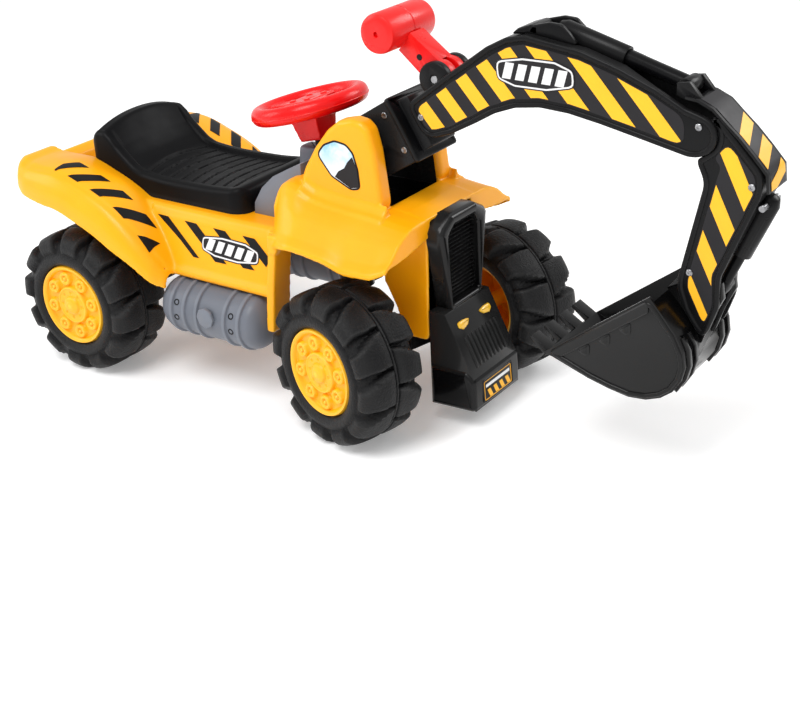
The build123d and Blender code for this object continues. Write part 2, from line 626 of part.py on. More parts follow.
with BuildPart() as lever_arm:
    disc(LEVER, 20, -15, 15)
    slab(lever_outline(0), -LEVER_ARM_Y, LEVER_ARM_Y)
    # crank web and pin for the pull rod
    for side in (1, -1):
        slab([(LEVER[0] - 12, LEVER[1]), (LEVER[0] + 14, LEVER[1]),
              (LEVER_PIN[0] + 7, LEVER_PIN[1] - 5), (LEVER_PIN[0] - 5, LEVER_PIN[1] - 6)],
             *between(side, 5, 9))
    disc(LEVER, 20.5, -4.5, 4.5, mode=Mode.SUBTRACT)
    disc(LEVER, 9, -4.5, 4.5)
    disc(LEVER_PIN, 3, -9, 9)
    disc(LEVER, 5 + FIT, -40, 40, mode=Mode.SUBTRACT)
save(lever_arm, "lever_arm")

with BuildPart() as lever_grip:
    disc(GRIP, GRIP_R, -GRIP_HALF, GRIP_HALF)
    fillet(lever_grip.edges().filter_by(GeomType.CIRCLE), 2)
    disc(GRIP, GRIP_R - WALL, -GRIP_HALF + WALL, GRIP_HALF - WALL, mode=Mode.SUBTRACT)
    slab(lever_outline(0.3), -LEVER_ARM_Y - 0.3, LEVER_ARM_Y + 0.3, mode=Mode.SUBTRACT)
save(lever_grip, "lever_grip")

# ---- pull rod inside the boom, a bent flat bar ----
ELBOW_CRANK = (ELBOW[0] + CRANK[0], ELBOW[1] + CRANK[1])
BAR_T = 6.0
with BuildPart() as pull_rod:
    with BuildSketch(upright(BAR_T / 2)):
        with BuildLine():
            Polyline(LEVER_PIN, (345, 442), (400, 458), (500, 452), (556, 420), ELBOW_CRANK)
        trace(line_width=8)
        with Locations(LEVER_PIN, ELBOW_CRANK):
            Circle(8)
        with Locations(LEVER_PIN):
            Circle(3 + FIT, mode=Mode.SUBTRACT)
        with Locations(ELBOW_CRANK):
            Circle(4 + EYE_PLAY / 2, mode=Mode.SUBTRACT)
    extrude(amount=BAR_T)
save(pull_rod, "pull_rod")

# ---- stick: two halves, back guard, pins ----
STICK_OUTLINE = [(606, 392), (607, 386), (616, 368), (590, 255), (589, 243), (624, 179),
                 (641, 227), (640, 262), (681, 362), (682, 385), (665, 403), (647, 423),
                 (634, 434), (620, 441)]
GUARD_LINE = [(590, 456.5), (604, 455), (621, 447.5), (637, 433), (651, 421), (668, 404),
              (684.5, 386), (686.5, 366)]
GUARD_T = 3.0
for name, side in (("left", 1), ("right", -1)):
    with BuildPart() as stick_half:
        slab(STICK_OUTLINE, *between(side, 0.05, STICK_Y))
        disc(ELBOW, 27, *between(side, 0.05, STICK_Y))
        disc(LOW_FOOT, 13, *between(side, 15, STICK_Y))
        slab(STICK_OUTLINE, *between(side, -1, STICK_Y - WALL), inset=WALL, mode=Mode.SUBTRACT)
        disc(ELBOW, 24, *between(side, -1, STICK_Y - WALL), mode=Mode.SUBTRACT)
        # windows for the pull rod, the bucket's ears and the lower cylinder
        slab([(560, 380), (624, 386), (624, 412), (600, 450), (560, 450)], *between(side, -1, 8),
             mode=Mode.SUBTRACT)
        slab([(560, 170), (660, 170), (660, 268), (560, 285)], *between(side, -1, STICK_Y - WALL),
             mode=Mode.SUBTRACT)
        with BuildSketch(Plane(origin=(LOW_FOOT[0] + 7, 0, LOW_FOOT[1] + 16), x_dir=(0, 1, 0),
                               z_dir=(LOW_EYE[0] - LOW_FOOT[0], 0, LOW_EYE[1] - LOW_FOOT[1]))):
            Circle(15)
        extrude(amount=130, mode=Mode.SUBTRACT)
        disc(ELBOW, 12, *between(side, 14, STICK_Y))
        disc(BUCKET_PIN, 11, *between(side, STICK_Y - WALL, STICK_Y))
        for centre, radius in ((ELBOW, BOOM_PIN_R), (BUCKET_PIN, 5.0), (LOW_FOOT, SMALL_PIN_R),
                               (ELBOW_CRANK, 4.0)):
            disc(centre, radius + FIT, -60, 60, mode=Mode.SUBTRACT)
    save(stick_half, f"stick_{name}")

with BuildPart() as stick_guard:
    with BuildSketch(upright(STICK_Y)):
        with BuildLine():
            Polyline(*GUARD_LINE)
        trace(line_width=GUARD_T)
    extrude(amount=2 * STICK_Y)
    # lugs that take the top cylinder's eye
    for side in (1, -1):
        slab([(578, 470), (592, 472), (606, 456), (600, 452.5), (588, 453), (578, 457)],
             *between(side, LUG_IN, LUG_OUT))
    disc(TOP_EYE, SMALL_PIN_R - 1, -LUG_OUT, LUG_OUT)
    disc(TOP_EYE, 16, -LUG_IN, LUG_IN, mode=Mode.SUBTRACT)
    disc(TOP_EYE, SMALL_PIN_R - 1, -LUG_OUT, LUG_OUT)
save(stick_guard, "stick_guard")

with BuildPart() as stick_pins:
    disc(BUCKET_PIN, 5, -STICK_Y + 0.5, STICK_Y - 0.5)
    disc(LOW_FOOT, SMALL_PIN_R, -STICK_Y + 0.5, STICK_Y - 0.5)
    disc(ELBOW_CRANK, 4, -STICK_Y + 0.5, STICK_Y - 0.5)
save(stick_pins, "stick_pins")

# ---- the two telescoping cylinders ----
def cylinder(foot, eye, sleeve_r, rod_r, sleeve_len, eye_r):
    """A sleeve on its foot pin and a rod that ends in an eye, with FIT between them."""
    reach = ((eye[0] - foot[0]) ** 2 + (eye[1] - foot[1]) ** 2) ** 0.5
    line = Plane(origin=(foot[0], 0, foot[1]), x_dir=(0, 1, 0),
                 z_dir=(eye[0] - foot[0], 0, eye[1] - foot[1]))
    bore = rod_r + 0.35
    with BuildPart() as sleeve:
        spin(line, [(0, -sleeve_r), (sleeve_r * 0.7, -sleeve_r * 0.7), (sleeve_r, 0),
                    (sleeve_r, sleeve_len), (bore, sleeve_len), (bore, 8), (0, 8)])
        disc(foot, SMALL_PIN_R + FIT, -40, 40, mode=Mode.SUBTRACT)
    with BuildPart() as rod:
        spin(line, [(0, sleeve_len * 0.42), (rod_r, sleeve_len * 0.42), (rod_r, reach - 4),
                    (0, reach - 4)])
        disc(eye, eye_r, -LUG_IN + 0.8, LUG_IN - 0.8)
        disc(eye, SMALL_PIN_R - 1 + EYE_PLAY, -40, 40, mode=Mode.SUBTRACT)
    return sleeve, rod


top_sleeve, top_rod = cylinder(TOP_FOOT, TOP_EYE, 11.5, 8.5, 78, 9.5)
save(top_sleeve, "top_sleeve")
save(top_rod, "top_rod")
low_sleeve, low_rod = cylinder(LOW_FOOT, LOW_EYE, 12.0, 7.0, 68, 9.0)
save(low_sleeve, "low_sleeve")
save(low_rod, "low_rod")

# ---- bucket ----
BUCKET_SIDE = [(442, 142), (469, 133), (500, 122), (528, 115), (552, 111), (574, 113),
               (592, 120), (606, 131), (616, 147), (620, 164), (617, 182), (607, 202),
               (592, 220), (574, 240)]
BUCKET_WALL = 3.5
with BuildPart() as bucket:
    slab(BUCKET_SIDE, -BUCKET_Y, BUCKET_Y)
    slab([(430, 150)] + BUCKET_SIDE[1:-1] + [(570, 255), (540, 290)], -BUCKET_Y + BUCKET_WALL,
         BUCKET_Y - BUCKET_WALL, inset=BUCKET_WALL, mode=Mode.SUBTRACT)
    # ears to the stick's pin and to the lower cylinder
    for side in (1, -1):
        slab([(576, 236), (592, 256), (610, 256), (640, 254), (643, 236), (632, 212),
              (620, 178), (616, 178), (604, 203), (590, 218)],
             *between(side, 14.2, 20.5))
    disc(LOW_EYE, SMALL_PIN_R - 1, -20, 20)
    disc(BUCKET_PIN, 5 + FIT, -40, 40, mode=Mode.SUBTRACT)
    # teeth along the lip
    for y in (-51, -17, 17, 51):
        slab([(446, 145), (424, 158), (421, 154), (440, 139), (462, 135.4)], y - 9, y + 9)
    # ribs down the back
    for y in (-52, -36, 36, 52):
        slab([(612, 196), (621, 182), (623.5, 164), (619, 146), (608, 128), (604, 131),
              (614, 148), (618, 164), (616, 181), (609, 194)], y - 3, y + 3)
save(bucket, "bucket")

# ---- screws, one group of heads and shanks per body ----
SCREW_R, HEAD_R = 1.6, 4.0


def screws(points, y_face, depth):
    """Pan-head screws standing on both side faces of a part."""
    for point in points:
        for side in (1, -1):
            disc(point, HEAD_R, *between(side, y_face + 0.1, y_face + 1.4))
            disc(point, SCREW_R, *between(side, y_face - depth, y_face + 0.5))


with BuildPart() as boom_screws:
    screws(((258, 392), (609, 429)), BOOM_Y, 2.5)
save(boom_screws, "boom_screws")
with BuildPart() as block_screws:
    screws(((212, 391), (239, 352)), BLOCK_Y, 2.0)
save(block_screws, "block_screws")
with BuildPart() as stick_screws:
    screws(((669, 371), (604, 262)), STICK_Y, 2.0)
save(stick_screws, "stick_screws")
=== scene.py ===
import json
from math import cos, hypot, pi, radians, sin

import bmesh
import bpy
import numpy as np
from mathutils import Matrix, Vector
from mathutils.bvhtree import BVHTree


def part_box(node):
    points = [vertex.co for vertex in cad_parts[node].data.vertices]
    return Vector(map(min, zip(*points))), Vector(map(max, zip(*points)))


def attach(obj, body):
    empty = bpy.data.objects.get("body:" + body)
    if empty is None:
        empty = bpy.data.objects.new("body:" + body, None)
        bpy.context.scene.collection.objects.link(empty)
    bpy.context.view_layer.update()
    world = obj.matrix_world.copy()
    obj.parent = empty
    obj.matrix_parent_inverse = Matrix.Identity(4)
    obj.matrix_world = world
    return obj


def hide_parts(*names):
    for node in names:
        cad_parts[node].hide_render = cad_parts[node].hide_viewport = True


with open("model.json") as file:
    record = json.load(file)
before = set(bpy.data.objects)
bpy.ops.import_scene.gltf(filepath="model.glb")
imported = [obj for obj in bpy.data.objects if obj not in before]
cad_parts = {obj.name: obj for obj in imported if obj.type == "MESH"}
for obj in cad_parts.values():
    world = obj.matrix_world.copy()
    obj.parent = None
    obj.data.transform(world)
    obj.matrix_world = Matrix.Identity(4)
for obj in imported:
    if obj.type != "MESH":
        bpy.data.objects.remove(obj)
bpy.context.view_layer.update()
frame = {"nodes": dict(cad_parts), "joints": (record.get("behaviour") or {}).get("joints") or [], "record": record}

# The looks of a ride-on toy digger. Sizes are written in millimetres and turned into metres
# by MM. +X is forward, +Y the rider's left, +Z up, the origin on the ground.
MM = 0.001
SAME_POINT = 0.02
SIDES = ((1, "left"), (-1, "right"))


# ---------------------------------------------------------------- materials
def shader(name, colour, rough, coat=0.0, specular=0.5):
    """A new material with its principled shader, whose constants are set on its own sockets."""
    mat = bpy.data.materials.new(name)
    mat.use_nodes = True
    bsdf = mat.node_tree.nodes["Principled BSDF"]
    bsdf.inputs["Base Color"].default_value = (*colour, 1)
    bsdf.inputs["Roughness"].default_value = rough
    bsdf.inputs["Specular IOR Level"].default_value = specular
    bsdf.inputs["Coat Weight"].default_value = coat
    bsdf.inputs["Coat Roughness"].default_value = 0.12
    return mat, mat.node_tree, bsdf


def node(tree, kind, **values):
    """Adds a node and sets its properties, or its inputs where the name is an input's."""
    made = tree.nodes.new(kind)
    for key, value in values.items():
        if key in made.inputs:
            made.inputs[key].default_value = value
        else:
            setattr(made, key, value)
    return made


def noise(tree, scale, detail=3.0, stretch=(1, 1, 1)):
    """Noise in the row frame's own coordinates, at a scale per metre."""
    place = node(tree, "ShaderNodeTexCoord")
    mapping = node(tree, "ShaderNodeMapping")
    mapping.inputs["Scale"].default_value = stretch
    tex = node(tree, "ShaderNodeTexNoise", Scale=scale, Detail=detail, Roughness=0.6)
    tree.links.new(place.outputs["Object"], mapping.inputs["Vector"])
    tree.links.new(mapping.outputs["Vector"], tex.inputs["Vector"])
    return tex.outputs["Fac"]


def spread(tree, value, low, high, to_low, to_high):
    """A value mapped from one range to another, clamped."""
    ranged = node(tree, "ShaderNodeMapRange")
    ranged.inputs["From Min"].default_value = low
    ranged.inputs["From Max"].default_value = high
    ranged.inputs["To Min"].default_value = to_low
    ranged.inputs["To Max"].default_value = to_high
    tree.links.new(value, ranged.inputs["Value"])
    return ranged.outputs["Result"]


def blend_colour(tree, factor, dark, light):
    """A colour between two, by a factor from nodes."""
    mix = node(tree, "ShaderNodeMix", data_type="RGBA")
    mix.inputs[6].default_value = (*dark, 1)
    mix.inputs[7].default_value = (*light, 1)
    tree.links.new(factor, mix.inputs[0])
    return mix.outputs[2]


def layer_colour(tree, factor, below, above):
    """A fixed colour laid over a colour from nodes, by a factor from nodes."""
    mix = node(tree, "ShaderNodeMix", data_type="RGBA")
    mix.inputs[7].default_value = (*above, 1)
    tree.links.new(below, mix.inputs[6])
    tree.links.new(factor, mix.inputs[0])
    return mix.outputs[2]


def plastic(name, colour, deep, rough, grain=900.0, bump=0.05, worn=None, coat=0.0,
            specular=0.5, worn_amount=0.35, depth=0.0004):
    """Moulded plastic: cloudy colour, fine grain, uneven gloss and paler rubbed edges."""
    mat, tree, bsdf = shader(name, colour, rough, coat, specular)
    cloud = spread(tree, noise(tree, 9.0, 4.0), 0.3, 0.7, 0.0, 1.0)
    colour_out = blend_colour(tree, cloud, deep, colour)
    if worn:
        geometry = node(tree, "ShaderNodeNewGeometry")
        edge = spread(tree, geometry.outputs["Pointiness"], 0.505, 0.56, 0.0, worn_amount)
        colour_out = layer_colour(tree, edge, colour_out, worn)
    tree.links.new(colour_out, bsdf.inputs["Base Color"])
    patches = spread(tree, noise(tree, 28.0, 5.0), 0.3, 0.75, rough - 0.05, rough + 0.08)
    tree.links.new(patches, bsdf.inputs["Roughness"])
    fine = node(tree, "ShaderNodeBump", Strength=bump, Distance=depth)
    tree.links.new(noise(tree, grain, 2.0), fine.inputs["Height"])
    tree.links.new(fine.outputs["Normal"], bsdf.inputs["Normal"])
    return mat


def steel(name):
    """Zinc-plated steel with fine scratches along the part."""
    mat, tree, bsdf = shader(name, (0.55, 0.55, 0.57), 0.32)
    bsdf.inputs["Metallic"].default_value = 1.0
    tone = spread(tree, noise(tree, 60.0, 4.0), 0.3, 0.7, 0.0, 1.0)
    tree.links.new(blend_colour(tree, tone, (0.22, 0.22, 0.23), (0.42, 0.42, 0.43)),
                   bsdf.inputs["Base Color"])
    tree.links.new(spread(tree, noise(tree, 300.0, 4.0, (1, 0.1, 1)), 0.3, 0.7, 0.22, 0.42),
                   bsdf.inputs["Roughness"])
    return mat


YELLOW = plastic("yellow_plastic", (1.0, 0.425, 0.002), (1.0, 0.385, 0.001), 0.36, 700, 0.035,
                 worn=(1.0, 0.56, 0.03), coat=0.08, specular=0.3)
HUB_YELLOW = plastic("hub_plastic", (1.0, 0.46, 0.003), (1.0, 0.41, 0.002), 0.38, 900, 0.04,
                     worn=(1.0, 0.68, 0.08), specular=0.4)
TYRE = plastic("tyre_plastic", (0.008, 0.008, 0.0085), (0.004, 0.004, 0.0045), 0.42, 430, 0.9,
               worn=(0.04, 0.04, 0.04), worn_amount=0.5, specular=0.16,
               depth=0.0013)
SEAT = plastic("seat_plastic", (0.004, 0.004, 0.0045), (0.002, 0.002, 0.0025), 0.38, 1300, 0.10,
               worn=(0.03, 0.03, 0.03), specular=0.07)
BLACK = plastic("black_gloss_plastic", (0.003, 0.003, 0.0034), (0.002, 0.002, 0.002), 0.18, 500,
                0.02, worn=(0.04, 0.04, 0.04), coat=0.1, specular=0.15)
SATIN = plastic("black_satin_plastic", (0.004, 0.004, 0.0045), (0.0025, 0.0025, 0.003), 0.28, 900,
                0.04, worn=(0.03, 0.03, 0.03), specular=0.13)
GREY = plastic("grey_plastic", (0.145, 0.158, 0.188), (0.122, 0.135, 0.162), 0.42, 900, 0.06,
               worn=(0.24, 0.26, 0.30), specular=0.35)
RED = plastic("red_plastic", (0.80, 0.002, 0.003), (0.68, 0.001, 0.002), 0.28, 700, 0.03,
              worn=(1.0, 0.05, 0.04), coat=0.1, specular=0.25)
LAMP = plastic("lamp_plastic", (0.95, 0.60, 0.04), (0.80, 0.42, 0.01), 0.22, 400, 0.03, coat=0.6)
STEEL = steel("zinc_plated_steel")
INK = plastic("sticker_black", (0.006, 0.0055, 0.0055), (0.004, 0.004, 0.004), 0.38, 1500, 0.03,
              specular=0.2)
CHARCOAL = plastic("sticker_charcoal", (0.018, 0.017, 0.019), (0.013, 0.012, 0.014), 0.42, 1500,
                   0.05, specular=0.2)
STRIPE = plastic("sticker_yellow", (1.0, 0.50, 0.003), (1.0, 0.45, 0.001), 0.40, 1500, 0.03)
PAPER = plastic("sticker_white", (0.82, 0.82, 0.82), (0.74, 0.74, 0.75), 0.40, 1500, 0.03)


def window_sky(name):
    """A printed window: sky blue above, fading to white below."""
    mat, tree, bsdf = shader(name, (0.5, 0.8, 1.0), 0.25)
    place = node(tree, "ShaderNodeTexCoord")
    split = node(tree, "ShaderNodeSeparateXYZ")
    tree.links.new(place.outputs["Object"], split.inputs["Vector"])
    high = spread(tree, split.outputs["Z"], 0.322, 0.356, 0.0, 1.0)
    sky = blend_colour(tree, high, (0.80, 0.86, 0.92), (0.24, 0.55, 0.85))
    cloud = spread(tree, noise(tree, 45.0, 3.0), 0.42, 0.62, 0.0, 0.7)
    tree.links.new(layer_colour(tree, cloud, sky, (0.85, 0.92, 0.97)), bsdf.inputs["Base Color"])
    return mat


SKY = window_sky("window_print")

SLOT_PAINT = {"yellow": YELLOW, "hub_yellow": HUB_YELLOW, "tyre": TYRE, "seat_black": SEAT,
              "black_gloss": BLACK, "black_satin": SATIN, "grey": GREY, "red": RED,
              "lamp_yellow": LAMP, "label": INK, "steel": STEEL}
NODE_SLOT = {s["node"]: s["material_slot"] for s in frame["record"]["subparts"]}
NODE_BODY = {n: b for b, ns in frame["record"]["behaviour"]["bodies"].items() for n in ns}


# ---------------------------------------------------------------- mesh building
def solid_mesh(name, verts, faces):
    """A mesh from points in millimetres."""
    mesh = bpy.data.meshes.new(name)
    mesh.from_pydata([Vector(v) * MM for v in verts], [], faces)
    return mesh


def piece(name, body, mat, slot, verts=None, faces=None, mesh=None, smooth=35.0, clean=False):
    """A finished piece that rides on a body, from points and faces or from a mesh."""
    mesh = mesh or solid_mesh(name, verts, faces)
    mesh.materials.clear()
    mesh.materials.append(mat)
    made = bpy.data.objects.new(name, mesh)
    bpy.context.scene.collection.objects.link(made)
    shade(made, smooth)
    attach(made, body)
    if clean:
        tidy(mesh)
    return made


def stand_in(node_name, mat, solid, smooth=35.0, clean=True, suffix="_moulding"):
    """A finished piece that stands for a CAD node, on its body."""
    made = piece(node_name + suffix, NODE_BODY[node_name], mat, NODE_SLOT[node_name], *solid,
                 smooth=smooth, clean=clean)
    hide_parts(node_name)


def opened(mesh):
    """A copy of a mesh that can be edited, until written() puts it back."""
    work = bmesh.new()
    work.from_mesh(mesh)
    return work


def written(work, mesh):
    """Puts an edited copy back into its mesh."""
    work.to_mesh(mesh)
    work.free()


def shade(obj, angle):
    """Smooth shading, with edges sharper than the angle left sharp."""
    work = opened(obj.data)
    bmesh.ops.recalc_face_normals(work, faces=work.faces)
    for face in work.faces:
        face.smooth = True
    for edge in work.edges:
        edge.smooth = len(edge.link_faces) == 2 and edge.calc_face_angle(0) < radians(angle)
    written(work, obj.data)


def apply(obj):
    """Turns an object's modifiers into its mesh, which keeps its material."""
    mat = obj.data.materials[0]
    graph = bpy.context.evaluated_depsgraph_get()
    baked = bpy.data.meshes.new_from_object(obj.evaluated_get(graph))
    obj.modifiers.clear()
    obj.data = baked
    baked.materials.clear()
    baked.materials.append(mat)


def thicken(sheet, thickness):
    """Gives a sheet its thickness, half on each side."""
    thick = sheet.modifiers.new("thick", "SOLIDIFY")
    thick.thickness = thickness * MM
    thick.offset = 0
    apply(sheet)


def grid(rows, close_u=False, close_v=False):
    """Vertices and quads of a grid of points, rows along u."""
    nu, nv = len(rows), len(rows[0])
    verts = [p for row in rows for p in row]
    faces = []
    for i in range(nu if close_u else nu - 1):
        for j in range(nv if close_v else nv - 1):
            a, b = i * nv, ((i + 1) % nu) * nv
            k = (j + 1) % nv
            faces.append((a + j, a + k, b + k, b + j))
    return verts, faces


def tidy(mesh):
    """Joins points that coincide and drops faces with no area."""
    work = opened(mesh)
    bmesh.ops.remove_doubles(work, verts=work.verts, dist=SAME_POINT * MM)
    bmesh.ops.dissolve_degenerate(work, edges=work.edges, dist=SAME_POINT * MM)
    written(work, mesh)


def fillet(points, radius, steps=5, closed=True):
    """An outline's corners rounded to a radius, for points of two coordinates."""
    out = []
    count = len(points)
    for i, p in enumerate(points):
        if not closed and i in (0, count - 1):
            out.append(p)
            continue
        a, b, c = (np.array(points[(i + k) % count], float) for k in (-1, 0, 1))
        u, v = a - b, c - b
        lu, lv = np.linalg.norm(u), np.linalg.norm(v)
        u, v = u / lu, v / lv
        half = np.arccos(np.clip(u @ v, -1, 1)) / 2
        cut = min(radius / np.tan(half), 0.48 * lu, 0.48 * lv) if half > 0.01 else 0.0
        if cut < 1e-4 or half > 1.55:
            out.append(p)
            continue
        start, end = b + u * cut, b + v * cut
        for k in range(steps + 1):
            t = k / steps
            out.append(tuple((1 - t) ** 2 * start + 2 * t * (1 - t) * b + t * t * end))
    return out


def inset(points, amount):
    """A closed outline moved inwards along its corners' bisectors."""
    pts = np.array(points, float)
    area = np.sum(pts[:, 0] * np.roll(pts[:, 1], -1) - np.roll(pts[:, 0], -1) * pts[:, 1])
    turn = 1 if area > 0 else -1
    before = pts - np.roll(pts, 1, axis=0)
    after = np.roll(pts, -1, axis=0) - pts
    before /= np.linalg.norm(before, axis=1)[:, None]
    after /= np.linalg.norm(after, axis=1)[:, None]
    n1 = turn * np.column_stack((-before[:, 1], before[:, 0]))
    n2 = turn * np.column_stack((-after[:, 1], after[:, 0]))
    mid = n1 + n2
    mid /= np.maximum((mid * n1).sum(axis=1), 0.35)[:, None]
    return [tuple(p) for p in pts + mid * amount]


def turn(count):
    """Angles evenly round a circle."""
    return [k / count * 2 * pi for k in range(count)]


def looped(rows):
    """Vertices and quads of a grid that closes both ways."""
    return grid(rows, close_u=True, close_v=True)


def side_on(side, y):
    """Places an XZ outline point at a distance from the centre plane."""
    return lambda u, v, h: (u, side * (y + h), v)


def onto(origin, along, up):
    """Places an outline point on a plane given by its origin and two directions, h along its normal."""
    o, a = Vector(origin), Vector(along).normalized()
    n = a.cross(Vector(up)).normalized()
    b = n.cross(a)
    return lambda u, v, h: tuple(o + a * u + b * v + n * h)


def plate(name, outline, profile, place, body, mat, slot):
    """A plate: outline loops, each an inset and a height, bridged and capped."""
    loops = [inset(outline, amount) if amount else list(outline) for amount, _ in profile]
    rows = [[place(u, v, h) for u, v in loop] for loop, (_, h) in zip(loops, profile)]
    verts, faces = grid(rows, close_v=True)
    count = len(outline)
    faces.append(tuple(range(count)))
    faces.append(tuple((len(profile) - 1) * count + k for k in range(count)))
    made = piece(name, body, mat, slot, verts, faces)
    work = opened(made.data)
    bmesh.ops.triangulate(work, faces=[f for f in work.faces if len(f.verts) > 4])
    written(work, made.data)


def decal(name, outline, place, body, mat, slot, thick=0.35, lift=0.05):
    """A flat sticker, as a thin plate."""
    plate(name, outline, [(0, lift), (0, lift + thick)], place, body, mat, slot)


def clip(polygon, keep):
    """The part of a polygon where keep(point) is at least zero, keep being linear."""
    out = []
    for i, p in enumerate(polygon):
        q = polygon[(i + 1) % len(polygon)]
        a, b = keep(p), keep(q)
        if a >= 0:
            out.append(p)
        if (a > 0) != (b > 0) and abs(a - b) > 1e-9:
            t = a / (a - b)
            out.append((p[0] + (q[0] - p[0]) * t, p[1] + (q[1] - p[1]) * t))
    return out


def bands(region, start, pitch, width, count, lean):
    """Slanted hazard bands cut from a region: x is start plus pitch, leaning with v."""
    found = []
    for k in range(count):
        left = start + k * pitch
        shape = clip(region, lambda p: p[0] - lean * p[1] - left)
        shape = clip(shape, lambda p: left + width - p[0] + lean * p[1]) if shape else shape
        if len(shape) > 2:
            found.append(shape)
    return found


def merged(parts):
    """The points and faces of several closed solids, as one."""
    verts, faces = [], []
    for part_verts, part_faces in parts:
        faces += [tuple(i + len(verts) for i in face) for face in part_faces]
        verts += part_verts
    return verts, faces


def fused(name, parts, voxel, smooth, body, mat, slot, keep=0.5):
    """Closed solids joined into one moulding with soft edges."""
    mesh = solid_mesh(name, *merged(parts))
    work = opened(mesh)
    bmesh.ops.recalc_face_normals(work, faces=work.faces)
    written(work, mesh)
    made = piece(name, body, mat, slot, mesh=mesh)
    remesh = made.modifiers.new("fuse", "REMESH")
    remesh.mode = "VOXEL"
    remesh.voxel_size = voxel * MM
    relax = made.modifiers.new("relax", "SMOOTH")
    relax.factor = 0.5
    relax.iterations = smooth
    thin = made.modifiers.new("thin", "DECIMATE")
    thin.ratio = keep
    apply(made)
    shade(made, 60)
    return made


def prism(outline, y_low, y_high):
    """A closed solid from an XZ outline."""
    return loft([[(x, y, z) for x, z in outline] for y in (y_low, y_high)])


def mirrored(part):
    """The same solid on the other side of the centre plane."""
    verts, faces = part
    return [(x, -y, z) for x, y, z in verts], faces


def loft(sections):
    """A closed solid through loops of points."""
    verts, faces = grid(sections, close_v=True)
    count, last = len(sections[0]), len(verts)
    return verts, faces + [tuple(range(count)), tuple(range(last - count, last))]


def softened(node_name, width):
    """A copy of a CAD node with its edges rounded, which stands for it."""
    mesh = frame["nodes"][node_name].data.copy()
    work = opened(mesh)
    bmesh.ops.remove_doubles(work, verts=work.verts, dist=0.01 * MM)
    bmesh.ops.dissolve_limit(work, angle_limit=radians(1.5), verts=work.verts, edges=work.edges)
    written(work, mesh)
    slot = NODE_SLOT[node_name]
    made = piece(node_name + "_moulded", NODE_BODY[node_name], SLOT_PAINT[slot], slot, mesh=mesh)
    bevel = made.modifiers.new("round", "BEVEL")
    bevel.width = width * MM
    bevel.segments = 2
    bevel.limit_method = "ANGLE"
    bevel.angle_limit = radians(32)
    apply(made)
    shade(made, 50)
    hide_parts(node_name)


def ease(x, low, high):
    """A smooth step from 0 to 1."""
    t = min(max((x - low) / (high - low), 0.0), 1.0)
    return t * t * (3 - 2 * t)


def through(x, xs, values):
    """A smooth curve through values given at xs (monotone cubic)."""
    xs, values = np.array(xs, float), np.array(values, float)
    h = np.diff(xs)
    d = np.diff(values) / h
    m = np.zeros(len(xs))
    m[0], m[-1] = d[0], d[-1]
    for i in range(1, len(xs) - 1):
        if d[i - 1] * d[i] > 0:
            m[i] = 2 * d[i - 1] * d[i] / (d[i - 1] + d[i])
    i = int(np.clip(np.searchsorted(xs, x) - 1, 0, len(h) - 1))
    t = min(max((x - xs[i]) / h[i], 0.0), 1.0)
    a, b = values[i], values[i + 1]
    return float((2 * t**3 - 3 * t**2 + 1) * a + (t**3 - 2 * t**2 + t) * h[i] * m[i]
                 + (3 * t**2 - 2 * t**3) * b + (t**3 - t**2) * h[i] * m[i + 1])


# ---------------------------------------------------------------- rear body
FENDER_X = (-354, -335, -315, -270, -210, -166, -129, -104, -86)
CREST_Z = (270, 277, 281, 283, 267, 247, 217, 188, 160)
CREST_Y = (124, 134, 140, 143, 143, 143, 139, 134, 124)
OUTER_Y = (136, 155, 162, 166, 166, 166, 163, 157, 142)
EDGE_DROP = (30, 34, 38, 44, 46, 47, 38, 30, 16)
KICK = 9.0


def fender_top(x, y):
    """Height of a rear fender's top, with the kick-up of the tail."""
    z = through(x, FENDER_X, CREST_Z)
    rise = KICK * (1 - ease(x, -346, -322)) * ease(abs(y), 52, 66)
    crown = 3.0 * ((abs(y) - 112) / 32) ** 2 * ease(x, -340, -300)
    return z + rise - crown


def rear_section(x):
    """One side's section of a rear fender, top then underside, as (y, z)."""
    crest_y, out_y = through(x, FENDER_X, CREST_Y), through(x, FENDER_X, OUTER_Y)
    edge = fender_top(x, crest_y) - through(x, FENDER_X, EDGE_DROP)
    top = [(y, fender_top(x, y)) for y in np.linspace(76, crest_y - 3, 9)]
    zc = top[-1][1]
    roll = [(crest_y, zc - 0.6), (crest_y + 3, zc - 3)]
    for t in np.linspace(0.25, 1, 6):
        a = t * pi / 2
        roll.append((crest_y + 3 + (out_y - crest_y - 3) * sin(a), edge + (zc - 3 - edge) * cos(a)))
    lip = [(out_y + 0.4, edge - 3), (out_y - 1.5, edge - 5), (out_y - 4.5, edge - 3)]
    under = [(y - (4.2 if y > crest_y else 0), z - (4.6 if y <= crest_y + 3 else 1.5))
             for y, z in reversed(top + roll[:-1])]
    return top + roll + lip + under


def panel_y(z):
    """Distance of the slanting side panel from the centre plane at a height."""
    return 97 + (235 - z) * 23 / 76


